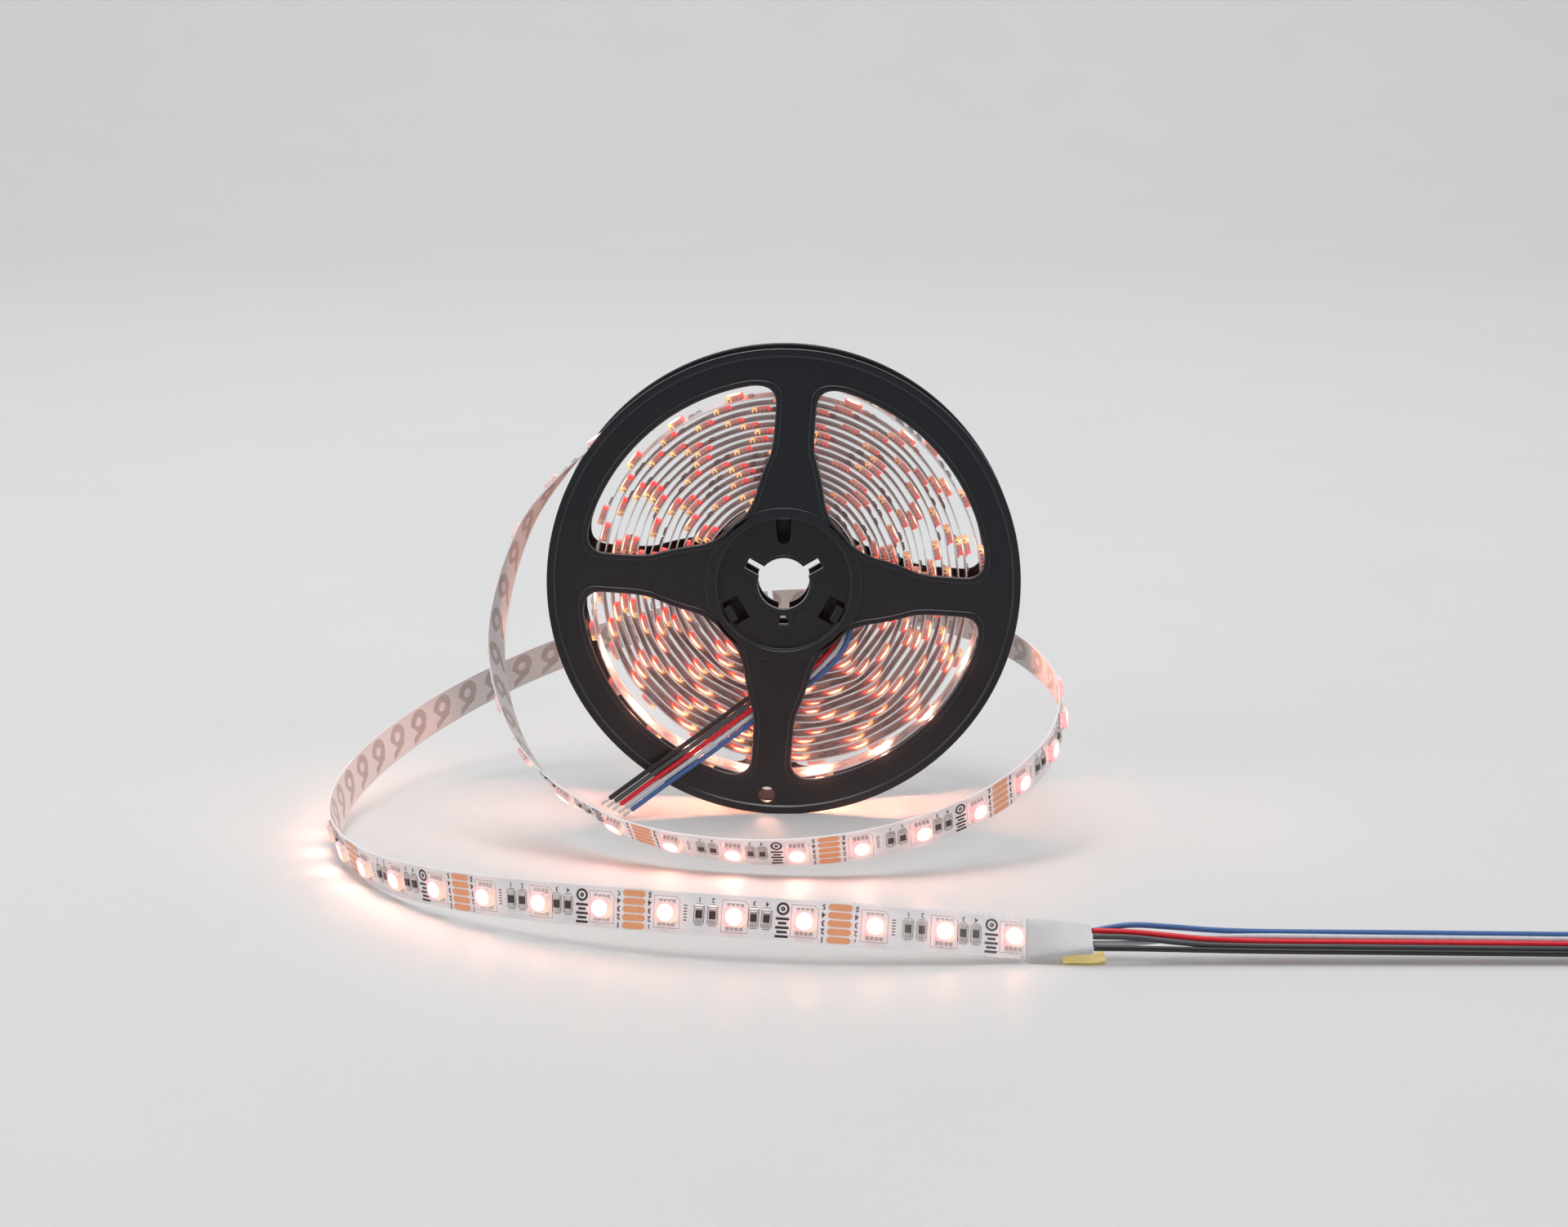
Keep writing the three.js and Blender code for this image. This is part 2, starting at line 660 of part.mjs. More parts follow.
function reel() {
  const group = new THREE.Group();
  group.name = 'led_strip_reel';
  group.position.set(ORIGIN_SHIFT[0], ORIGIN_SHIFT[1], 0);
  const add = (...args) => group.add(piece(...args));
  add('reel_front', faceFront(fromManifold(reelFront())), REEL_BLACK);
  add('reel_rear', faceFront(fromManifold(rearSolid())), REEL_BLACK);
  add('strip_roll', rollSolid(), STRIP_WHITE);
  const [first, second] = SPLICE_AT;
  add('strip_loop_inner', fromManifold(loopSolid(first, second - JOINT_GAP)), STRIP_WHITE);
  add('strip_loop_outer', fromManifold(loopSolid(second, FREE.length)), STRIP_WHITE);
  add('clear_sleeve', fromManifold(clearSleeve()), CLEAR, { transparent: true, opacity: 0.3 });
  add('end_sleeve', endSleeve(), SLEEVE_WHITE);
  add('inner_sleeve', innerSleeve(), SLEEVE_WHITE);
  add('tape_tab', tapeTab(), TAPE);
  for (const colour of INNER_ORDER) {
    const shade = [WIRE_COLOURS[colour], 0.4, 0];
    const outer = outerWirePoints(colour);
    add(`lead_out_${colour}`, wireTube(outer, WIRE_R, 36), shade);
    add(`tip_out_${colour}`, wireTip(outer), TIN);
    const inner = innerWirePoints(colour);
    add(`lead_in_${colour}`, wireTube(inner, WIRE_R, 27), shade);
    add(`tip_in_${colour}`, wireTip(inner), TIN);
  }
  return group;
}

export default reel();
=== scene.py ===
# %% [markdown]
# # A strip light on its reel
#
# The object is a reel of flexible strip light: two black plastic halves snapped together, about
# fifteen turns of white circuit strip wound between them, and a free end that runs off in two open
# loops on the floor, lit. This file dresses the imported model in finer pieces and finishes. The
# first cell loads that model, which gives every piece its place.

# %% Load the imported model
import math
from functools import partialmethod

import bmesh
import bpy
import numpy as np
from mathutils import Matrix, Vector


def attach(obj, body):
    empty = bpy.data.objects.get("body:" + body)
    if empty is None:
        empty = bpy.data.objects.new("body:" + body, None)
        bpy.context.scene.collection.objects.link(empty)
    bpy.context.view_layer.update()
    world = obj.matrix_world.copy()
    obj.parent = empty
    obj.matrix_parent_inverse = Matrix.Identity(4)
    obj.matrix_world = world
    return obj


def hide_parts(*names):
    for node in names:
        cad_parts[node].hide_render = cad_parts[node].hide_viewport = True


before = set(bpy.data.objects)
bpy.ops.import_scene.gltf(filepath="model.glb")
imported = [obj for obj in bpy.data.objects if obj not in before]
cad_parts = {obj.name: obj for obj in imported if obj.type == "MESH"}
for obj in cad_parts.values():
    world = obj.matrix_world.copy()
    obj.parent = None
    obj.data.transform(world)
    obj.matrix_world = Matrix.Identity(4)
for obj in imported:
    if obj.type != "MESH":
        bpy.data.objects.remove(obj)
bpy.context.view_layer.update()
print("nodes in the model:", len(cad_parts))

# %% [markdown]
# ## Sizes and a common frame
#
# All sizes of the strip and reel are in millimetres, because its maker's drawings are. Blender
# works in metres here, so one small function turns a point measured from the floor under the
# reel's middle into the model's own frame. The solid's rim has 72 flats and stands on one of them.

# %% Sizes and the frame of the reel
MM = 0.001
ORIGIN_SHIFT = Vector((22.7, 38.3, 0))
REEL_R = 65.5
RIM_SIDES = 72
AXIS_Z = REEL_R * math.cos(math.pi / RIM_SIDES)
STRIP_W = 10.0
LED_PITCH = 50 / 3


def place(x, y, z):
    """A point in millimetres from the floor under the reel's middle, in metres in the frame."""
    return (Vector((x, y, z)) + ORIGIN_SHIFT) * MM


def add_object(name, data):
    """A new object with the data, in the scene."""
    thing = bpy.data.objects.new(name, data)
    bpy.context.scene.collection.objects.link(thing)
    return thing


def evaluated_mesh(thing):
    """What Blender makes of an object's curve or modifiers, as a plain mesh."""
    return bpy.data.meshes.new_from_object(thing.evaluated_get(bpy.context.evaluated_depsgraph_get()))


def mesh_of(curve):
    """A curve or a text made a mesh."""
    holder = add_object("outline", curve)
    mesh = evaluated_mesh(holder)
    bpy.data.objects.remove(holder)
    return mesh


def apply_modifiers(thing):
    """The object keeps what its modifiers make of it."""
    mesh = evaluated_mesh(thing)
    thing.modifiers.clear()
    thing.data = mesh


def stand_for(piece, node):
    """The piece takes the place of the model's node and rides on the one body."""
    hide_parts(node)
    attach(piece, "root")
    print(piece.name, len(piece.data.polygons), "faces")


print("reel's axis at", [round(v, 4) for v in place(0, 0, AXIS_Z)])

# %% [markdown]
# ## Camera
#
# The camera comes first, because everything else is judged through it. Its place was found from
# the ellipse of the reel's rim and from the even spacing of the lights on the floor: it stands
# about 0.8 m away, looks 12 degrees down and has a short telephoto lens, 68 mm on a 36 mm sensor.
# Its sensor width is tied to the picture's width, so the lens needs no shift.

# %% Place the camera
CAMERA_AT = (6.38, -814.09, 228.21)
LOOK_DOWN = 11.949
LOOK_LEFT = 0.445
LENS = 68.44

camera_data = bpy.data.cameras.new("camera")
camera_data.lens = LENS
camera_data.sensor_width = 36
camera_data.sensor_fit = "HORIZONTAL"
camera_data.clip_start = 0.01
camera_data.clip_end = 50
camera = add_object("camera", camera_data)
camera.location = place(*CAMERA_AT)
camera.rotation_euler = (math.radians(90 - LOOK_DOWN), 0, math.radians(LOOK_LEFT))
bpy.context.scene.camera = camera
print("camera at", [round(v, 3) for v in camera.location])

# %% [markdown]
# ## Writing finishes as sums
#
# A procedural finish is a small program made of nodes. Wiring nodes by hand hides what they
# work out, so two classes let a finish be written as ordinary arithmetic. A Wire is one output
# socket that understands + - * / % < >, and a Finish is one material that can add any node. Both
# only ever make the usual Math, Mix and texture nodes. Most finishes wander a little between two
# colours, which one more function writes.

# %% Helpers for finishes
class Wire:
    """An output socket of a finish. Arithmetic on it adds Math nodes."""

    def __init__(self, finish, socket):
        self.finish, self.socket = finish, socket

    def do(self, operation, *others):
        return self.finish.add("ShaderNodeMath", {"operation": operation}, dict(enumerate((self, *others))))

    def __rsub__(self, other):
        return self.finish.add("ShaderNodeMath", {"operation": "SUBTRACT"}, {0: other, 1: self})

    __add__ = __radd__ = partialmethod(do, "ADD")
    __sub__ = partialmethod(do, "SUBTRACT")
    __mul__ = __rmul__ = partialmethod(do, "MULTIPLY")
    __truediv__ = partialmethod(do, "DIVIDE")
    __mod__ = partialmethod(do, "FLOORED_MODULO")
    __lt__ = partialmethod(do, "LESS_THAN")
    __gt__ = partialmethod(do, "GREATER_THAN")
    __abs__ = partialmethod(do, "ABSOLUTE")
    less = partialmethod(do, "MINIMUM")
    more = partialmethod(do, "MAXIMUM")
    power = partialmethod(do, "POWER")


class Finish:
    """A material with one Principled shader, and a method that adds any node."""

    def __init__(self, name, **sockets):
        self.material = bpy.data.materials.new(name)
        self.material.use_nodes = True
        self.tree = self.material.node_tree
        self.tree.nodes.clear()
        self.shader = self.tree.nodes.new("ShaderNodeBsdfPrincipled")
        output = self.tree.nodes.new("ShaderNodeOutputMaterial")
        self.tree.links.new(self.shader.outputs[0], output.inputs["Surface"])
        self.set(**sockets)

    def set(self, **sockets):
        for key, value in sockets.items():
            self.feed(self.shader.inputs[key.replace("_", " ")], value)

    def feed(self, socket, value):
        if isinstance(value, Wire):
            self.tree.links.new(value.socket, socket)
        else:
            socket.default_value = (*value, 1) if socket.type == "RGBA" else value

    def add(self, kind, settings=None, inputs=None, out=0):
        node = self.tree.nodes.new(kind)
        for key, value in (settings or {}).items():
            setattr(node, key, value)
        for key, value in (inputs or {}).items():
            self.feed(node.inputs[key], value)
        return Wire(self, node.outputs[out])

    def mix(self, factor, first, second, blend="MIX"):
        settings = {"data_type": "RGBA", "blend_type": blend}
        return self.add("ShaderNodeMix", settings, {0: factor, 6: first, 7: second}, out=2)

    def split(self, vector):
        node = self.tree.nodes.new("ShaderNodeSeparateXYZ")
        self.tree.links.new(vector.socket, node.inputs[0])
        return [Wire(self, node.outputs[i]) for i in range(3)]

    def position(self):
        """Where the surface is in the frame, in millimetres."""
        where = self.add("ShaderNodeTexCoord", out=3)
        return self.add("ShaderNodeVectorMath", {"operation": "SCALE"}, {0: where, "Scale": 1000.0})

    def uv(self):
        return self.add("ShaderNodeUVMap", {"uv_map": "UVMap"})

    def noise(self, scale, detail, at=None):
        """Smooth noise, with its scale in cycles for each millimetre of the surface's position."""
        inputs = {"Vector": at or self.position(), "Scale": scale, "Detail": detail}
        return self.add("ShaderNodeTexNoise", {}, inputs)

    def fade(self, value):
        """e to the power of minus the value."""
        return self.add("ShaderNodeMath", {"operation": "EXPONENT"}, {0: value * -1.0})

    def bump(self, height, strength, distance):
        inputs = {"Height": height, "Strength": strength, "Distance": distance * MM}
        self.set(Normal=self.add("ShaderNodeBump", {}, inputs))


def toned(rgb, tone):
    """A colour times a number or times another colour."""
    return tuple(np.multiply(rgb, tone).tolist())


def mottled(name, dark, light, scale, rough=None, detail=3.0, **sockets):
    """A finish whose colour, and roughness if one is given, wander with a noise, and that noise."""
    finish = Finish(name, **sockets)
    shade = finish.noise(scale, detail)
    finish.set(Base_Color=finish.mix(shade, dark, light))
    if rough:
        finish.set(Roughness=shade * 0.2 + rough)
    return finish, shade


print("finishes are ready to be written")

# %% [markdown]
# ## The five wires
#
# Both ends of the strip end in a flat lead of five wires, each 1.4 mm thick. A wire is one smooth
# curve with a round section. A curve object with a bevel would do, but a mesh made along the
# route keeps even rings and can carry its own length as a UV, so that is what the helper makes.
# The route points are the same as the solid model's, so that both lie in the same place.

# %% Smooth routes
def unit(v):
    return v / np.linalg.norm(v, axis=-1, keepdims=True)


def run_along(points):
    """The distance from the first point to each, along all between."""
    return np.concatenate([[0], np.cumsum(np.linalg.norm(np.diff(points, axis=0), axis=1))])


def read_at(stations, run, table):
    """The table's rows, which belong to the distances in run, read at other distances."""
    return np.stack([np.interp(stations, run, column) for column in table.T], axis=1)


def centripetal(points, samples):
    """A centripetal Catmull-Rom curve through the points, sampled evenly along its length."""
    points = np.array(points, float)
    padded = np.vstack([2 * points[0] - points[1], points, 2 * points[-1] - points[-2]])
    pieces = []
    for i in range(1, len(padded) - 2):
        p0, p1, p2, p3 = (padded[i + k, :3] for k in (-1, 0, 1, 2))
        dt = [max(np.linalg.norm(b - a) ** 0.5, 1e-4) for a, b in ((p0, p1), (p1, p2), (p2, p3))]
        q0, q1, q2, q3 = (padded[i + k] for k in (-1, 0, 1, 2))
        m1 = (q1 - q0) / dt[0] - (q2 - q0) / (dt[0] + dt[1]) + (q2 - q1) / dt[1]
        m2 = (q2 - q1) / dt[1] - (q3 - q1) / (dt[1] + dt[2]) + (q3 - q2) / dt[2]
        m1, m2 = m1 * dt[1], m2 * dt[1]
        t = np.linspace(0, 1, 60, endpoint=False)[:, None]
        pieces.append(
            q1 + m1 * t + (-3 * q1 + 3 * q2 - 2 * m1 - m2) * t**2 + (2 * q1 - 2 * q2 + m1 + m2) * t**3
        )
    fine = np.vstack([*pieces, padded[-2]])
    run = run_along(fine[:, :3])
    return read_at(np.linspace(0, run[-1], samples), run, fine), run[-1]


def skin(rings, close="caps"):
    """Points and faces of a skin through rings of equal count, closed by caps, as a loop or not at all."""
    count, sides = len(rings), len(rings[0])
    faces = []
    for i in range(count if close == "loop" else count - 1):
        for k in range(sides):
            a, b = i * sides + k, i * sides + (k + 1) % sides
            faces.append((a, b, (b + sides) % (count * sides), (a + sides) % (count * sides)))
    if close == "caps":
        faces += [tuple(range(sides))[::-1], tuple(range((count - 1) * sides, count * sides))]
    return [tuple(point) for ring in rings for point in ring], faces


def mesh_from_rings(name, rings, stations, around, finish, close="caps"):
    """A smooth skin as an object. Its UVs are the stations of the rings and the places around them."""
    points, faces = skin(rings, close)
    mesh = bpy.data.meshes.new(name)
    mesh.from_pydata(((np.array(points) + np.array(ORIGIN_SHIFT)) * MM).tolist(), [], faces)
    layer = mesh.uv_layers.new(name="UVMap")
    table = [(station, turn) for station in stations for turn in around]
    for loop in mesh.loops:
        layer.data[loop.index].uv = table[loop.vertex_index]
    mesh.materials.append(finish.material)
    mesh.polygons.foreach_set("use_smooth", [True] * len(mesh.polygons))
    mesh.update()
    return add_object(name, mesh)


def tube(name, route, radius, finish, samples, sides=14):
    """A round wire along a route, with rings turned as little as possible from one to the next."""
    line, length = centripetal(route, samples)
    tangent = unit(np.gradient(line, axis=0))
    side = unit(np.cross(tangent[0], [0.2, 0.3, 1.0]))
    angles = np.linspace(0, 2 * math.pi, sides, endpoint=False)[:, None]
    rings = []
    for p, t in zip(line, tangent):
        side = unit(side - t * np.dot(side, t))
        rings.append(p + radius * (np.cos(angles) * side + np.sin(angles) * np.cross(t, side)))
    stations = np.linspace(0, length / 10, samples)
    return mesh_from_rings(name, rings, stations, np.arange(sides) / sides, finish), line, length


print("routes are sampled along their length")

# %% Finishes of the wires
def vinyl(name, colour):
    """Smooth wire insulation: glossy, with faint extrusion marks and a little unevenness."""
    bright = tuple(min(1.0, c * 1.18) for c in colour)
    coat = {"Coat_Weight": 0.15, "Coat_Roughness": 0.25}
    finish, _ = mottled(name, toned(colour, 0.8), bright, 0.6, Roughness=0.34, **coat)
    finish.bump(finish.noise(3.0, 2.0), 0.12, 0.05)
    return finish


WIRE_COLOURS = {
    "blue": (0.055, 0.15, 0.40),
    "white": (0.66, 0.69, 0.74),
    "red": (0.84, 0.010, 0.028),
    "grey": (0.075, 0.085, 0.09),
    "black": (0.016, 0.016, 0.018),
}
wire_finish = {colour: vinyl("vinyl_" + colour, rgb) for colour, rgb in WIRE_COLOURS.items()}
METAL = {"Metallic": 1.0, "Roughness": 0.32}
tin, _ = mottled("tinned_copper", (0.55, 0.54, 0.52), (0.83, 0.83, 0.85), 2.5, detail=2.0, **METAL)
print("wire finishes:", sorted(wire_finish))

# %% Lay the outer lead
LEAD_START = np.array([74.6, -135.6, 5.4])
LEAD_END = np.array([223, -134.6, 3.9])
LEAD_ALONG = unit(LEAD_END - LEAD_START)
LEAD_ACROSS = unit(np.array([0, 0.87, 0.5]))
LEAD_OFF = np.cross(LEAD_ALONG, LEAD_ACROSS)
OUTER_WIRES = {
    "blue": [[0, 3.2, -0.6], [4.5, 3.5, 0.5], [9.5, 3.7, 1.2], [19.5, 3.5, 0.8], [28, 3.2, 0.3],
             [38, 3.1, 0]],
    "white": [[0, -0.6, -0.8], [9.5, -0.2, -0.85], [19.5, 1.1, -0.85], [26, 1.5, -0.5], [38, 1.55, 0]],
    "red": [[0, 2.1, 0.85], [9.5, 1.7, 0.85], [19.5, 0.6, 0.85], [26, 0.05, 0.6], [38, 0, 0]],
    "grey": [[0, 0.2, 0.85], [9.5, 0.0, 0.85], [19.5, -1.1, 0.6], [26, -1.5, 0.3], [38, -1.55, 0]],
    "black": [[0, -3.2, 0.5], [9.5, -3.0, 0.3], [38, -3.1, 0]],
}
WIRE_R = 0.7
WIRE_PITCH = 1.55
WIRE_SAMPLES = 150
TIP_R = 0.4
TIP_LEN = 2.6
TIP_INSIDE = 0.3
STRAIGHT_FROM = (70, 110)


def outer_route(colour):
    reach = np.linalg.norm(LEAD_END - LEAD_START)
    steps = OUTER_WIRES[colour] + [[x, *OUTER_WIRES[colour][-1][1:]] for x in (*STRAIGHT_FROM, reach)]
    return [LEAD_START + LEAD_ALONG * x + LEAD_ACROSS * a + LEAD_OFF * b for x, a, b in steps]


def lay_wire(where, colour, route):
    """One wire and its tinned end, in place of the model's lead and tip."""
    ends = f"{where}_{colour}"
    wire, line, length = tube("wire_" + ends, route, WIRE_R, wire_finish[colour], WIRE_SAMPLES)
    end, along = line[-1], unit(line[-1] - line[-2])
    tip_route = [end - along * TIP_INSIDE, end + along * (TIP_LEN + 0.05)]
    tip = tube("tinned_" + ends, tip_route, TIP_R, tin, 3, 10)[0]
    stand_for(wire, "lead_" + ends)
    stand_for(tip, "tip_" + ends)
    path = [place(*p) for p in line[::3]]
    print(f"{ends} wire {length:.0f} mm")


for colour in OUTER_WIRES:
    lay_wire("out", colour, outer_route(colour))

# %% Lay the inner lead
INNER_ORDER = ["blue", "white", "red", "grey", "black"]
INNER_ROUND = {
    "blue": [[6, 20.8, -2.9], [-18, 21.4, -5.1], [-35, 22.8, -5.15], [-50, 25.3, -5.15]],
    "white": [[6, 20.8, -1.0], [-18, 21.1, -3.1], [-35, 21.7, -3.6], [-50, 23.6, -5.1]],
    "red": [[6, 20.8, 0.9], [-18, 20.9, -1.0], [-35, 21.4, -2.1], [-50, 22.4, -4.1], [-62, 23.7, -5.1]],
    "grey": [[6, 20.8, 2.8], [-18, 20.8, 1.0], [-35, 20.9, -0.5], [-50, 21.5, -2.4], [-62, 22.2, -4.3]],
    "black": [[6, 20.8, 4.7], [-18, 20.8, 3.0], [-35, 20.7, 1.2], [-50, 20.6, -0.9], [-62, 20.8, -3.1]],
}
INNER_DIR = (-0.82, -0.572)
INNER_FOOT = 24.3
INNER_OUT = [[9, -5.15], [19, -5.15], [30, -5.2], [38, -6.9], [46, -8.6], [58, -9.8], [70.8, -12.6]]
INNER_STAGGER = 0.75


def inner_route(colour):
    row = INNER_ORDER.index(colour)
    points = [(r * math.cos(math.radians(a)), y, AXIS_Z + r * math.sin(math.radians(a)))
              for a, r, y in INNER_ROUND[colour]]
    dx, dz = INNER_DIR
    away = INNER_FOOT + WIRE_PITCH * (2 - row)
    for i, (u, y) in enumerate(INNER_OUT):
        u += INNER_STAGGER * row if i == len(INNER_OUT) - 1 else 0
        points.append((-dz * away + dx * u, y, AXIS_Z + dx * away + dz * u))
    return points


for colour in INNER_ORDER:
    lay_wire("in", colour, inner_route(colour))

# %% [markdown]
# ## The reel's two halves
#
# Each half is one moulding: a flange with four windows, a raised bead round the rim, a low lip
# round each window, and a sunk hub with a bore. Almost every edge on it is an outline pushed
# straight through a plate, so the halves are drawn as flat curves with holes. Blender fills such
# a curve, gives it thickness and rounds its edges by itself. What is round about the axis, the
# bead and the barrel, is a profile spun about it. The parts of a half are then joined.

# %% Outlines and plates
GAP_INSIDE = 12.4
INNER_FACE = GAP_INSIDE / 2
HALF_W = 7.4
PLATE_TOP = 6.75
RIM_BAND = 9.5
BEAD_W = 1.9
LIP_W = 1.7
SPOKE_TURN = -4
BARREL_R = 19.7
WINDOW_OUTER_R = REEL_R - RIM_BAND
WINDOW_INNER_R = BARREL_R + 2.0
RECESS_R = BARREL_R - 1.1
RECESS_FLOOR = 5.0
BORE_R = 7.2
KEYWAY_W = 3.0
KEYWAY_R = 11.7
HUB_LIP_W = 1.0
CREASE = 40
SAME_POINT = 0.002
FACE_TURN = Matrix.Rotation(math.radians(90), 4, "X")


def turned_point(x, y, degrees):
    a = math.radians(degrees)
    return (x * math.cos(a) - y * math.sin(a), x * math.sin(a) + y * math.cos(a))


def circle(r, sides=144, at=(0, 0)):
    return [(at[0] + x, at[1] + y) for x, y in arc(r, 0, 360, sides)[:-1]]


def oblong(x0, x1, half, degrees):
    """A rectangle from x0 to x1, twice half wide, turned about the axis."""
    return [turned_point(x, y, degrees) for x, y in ((x0, -half), (x1, -half), (x1, half), (x0, half))]


def arc(r, start, end, steps):
    return [turned_point(r, 0, start + (end - start) * k / steps) for k in range(steps + 1)]


def bend(p0, p1, p2, steps=8):
    """A rounded corner: a quadratic curve from p0 to p2 that leans on p1."""
    out = []
    for k in range(steps + 1):
        t = k / steps
        shares = (1 - t) ** 2, 2 * t * (1 - t), t * t
        out.append(tuple(np.dot(shares, (p0, p1, p2)).tolist()))
    return out


def window_outline(off, quarter):
    """The edge of one window, moved outwards by off millimetres."""
    outer, inner = WINDOW_OUTER_R + off, WINDOW_INNER_R - off
    side, flare, foot = 5.55 - off, 8.0 - off, 9.4 - off
    knee, reach = WINDOW_INNER_R + 3.3, outer - 6.5
    toe = WINDOW_INNER_R - 1.3 - off * 0.6
    waist = (36, 6.2 - off)
    flank = bend((knee, foot), (30.5, flare + 0.3), waist) + bend(waist, (39, side), (43, side))
    half = flank + bend((reach, side), (outer - 0.3, side), turned_point(outer, 0, 13))
    other = [(y, x) for x, y in reversed(half)]
    points = half + arc(outer, 13, 77, 40)[1:-1] + other
    points += bend((foot, knee), (foot + 0.9, toe), turned_point(inner, 0, 52))[1:]
    points += arc(inner, 52, 38, 8)[1:-1]
    points += bend(turned_point(inner, 0, 38), (toe, foot + 0.9), (knee, foot))[:-1]
    return [turned_point(x, y, SPOKE_TURN + 90 * quarter) for x, y in points]


def bore_outline(off, angles):
    """The bore with its keyways, moved outwards by off millimetres."""
    r, half, reach = BORE_R + off, KEYWAY_W / 2 + off, KEYWAY_R + off
    gap = math.degrees(math.asin(half / r))
    points = []
    for a, following in zip(angles, angles[1:] + [angles[0] + 360]):
        points += [turned_point(x, y, a) for x, y in ((reach, -half), (reach, half))]
        points += arc(r, a + gap, following - gap, max(8, int((following - a) / 6)))
    return points


def flat_plate(outlines, low, high, rounding):
    """Outlines filled where they nest, from depth low to high, with rounded edges, as a mesh."""
    curve = bpy.data.curves.new("outline", "CURVE")
    curve.dimensions = "2D"
    curve.fill_mode = "BOTH"
    curve.extrude = (high - low) / 2 - rounding
    curve.bevel_depth = rounding
    curve.bevel_resolution = 2
    curve.offset = -rounding
    for outline in outlines:
        spline = curve.splines.new("POLY")
        spline.points.add(len(outline) - 1)
        for point, (x, y) in zip(spline.points, outline):
            point.co = (x, y, 0, 1)
        spline.use_cyclic_u = True
    mesh = mesh_of(curve)
    mesh.transform(Matrix.Translation((0, 0, (low + high) / 2)))
    return mesh


def spun(profile):
    """A closed profile of (radius, depth) spun about the axis."""
    rings = [[(x * r, y * r, z) for r, z in profile] for x, y in circle(1)]
    points, faces = skin(rings, "loop")
    mesh = bpy.data.meshes.new("spun")
    mesh.from_pydata(points, [], faces)
    return mesh


def rounded(points, radius, steps):
    """The closed profile with each corner rounded by up to the radius."""
    out = []
    count = len(points)
    for i, p in enumerate(points):
        before, after = np.array(points[i - 1]), np.array(points[(i + 1) % count])
        corner = np.array(p, float)
        r = min(radius, 0.45 * np.linalg.norm(before - corner), 0.45 * np.linalg.norm(after - corner))
        start = corner + unit(before - corner) * r
        end = corner + unit(after - corner) * r
        out += bend(tuple(start), tuple(corner), tuple(end), steps)
    return out


def joined(name, meshes, turn, finish):
    """Meshes joined as one piece, placed, with flat faces that shade flat beside round edges."""
    whole = bmesh.new()
    for mesh in meshes:
        whole.from_mesh(mesh)
        bpy.data.meshes.remove(mesh)
    bmesh.ops.remove_doubles(whole, verts=whole.verts, dist=SAME_POINT)
    bmesh.ops.transform(whole, matrix=turn, verts=whole.verts)
    bmesh.ops.recalc_face_normals(whole, faces=whole.faces)
    mesh = bpy.data.meshes.new(name)
    whole.to_mesh(mesh)
    whole.free()
    mesh.transform(Matrix.Translation(Vector((0, 0, AXIS_Z)) + ORIGIN_SHIFT))
    mesh.transform(Matrix.Scale(MM, 4))
    mesh.polygons.foreach_set("use_smooth", [True] * len(mesh.polygons))
    mesh.set_sharp_from_angle(angle=math.radians(CREASE))
    mesh.materials.append(finish.material)
    thing = add_object(name, mesh)
    weigh = thing.modifiers.new("weigh", "WEIGHTED_NORMAL")
    weigh.keep_sharp = True
    apply_modifiers(thing)
    return thing


print("window outline has", len(window_outline(0, 0)), "points")

# %% Black moulded plastic
plastic = Finish("black_plastic", Specular_IOR_Level=0.32, Coat_Roughness=0.12)
_, facing, _ = plastic.split(plastic.add("ShaderNodeNewGeometry", out=1))
# The slope mask marks faces turned away from the axis: the window lips, the hub lips and the bead's
# fillets. It gives them more coat, which is real gloss, and a paler base colour, which is a painted
# highlight.
slope = (abs(facing) * -3.0 + 2.85).more(0.0).less(1.0)
matt = plastic.mix(plastic.noise(0.06, 3.0), (0.0090, 0.0122, 0.0165), (0.0135, 0.0176, 0.0235))
plastic.set(Base_Color=plastic.mix(slope, matt, (0.055, 0.062, 0.072)), Coat_Weight=slope * 0.97 + 0.03)
plastic.set(Roughness=plastic.noise(0.35, 3.0) * 0.14 + 0.28)
plastic.bump(plastic.noise(7.0, 2.0), 0.2, 0.03)
print("edges that slope are paler and glossier")

# %% Mould the two halves
FRONT_KEYWAYS = [30, 150]
REAR_KEYWAYS = [30, 150, 270]
SNAPS_AT = (210, 330)
RIM_HOLE = (2.25, 60.2, SPOKE_TURN - 90.5)
PLATE_LOW = 3.8


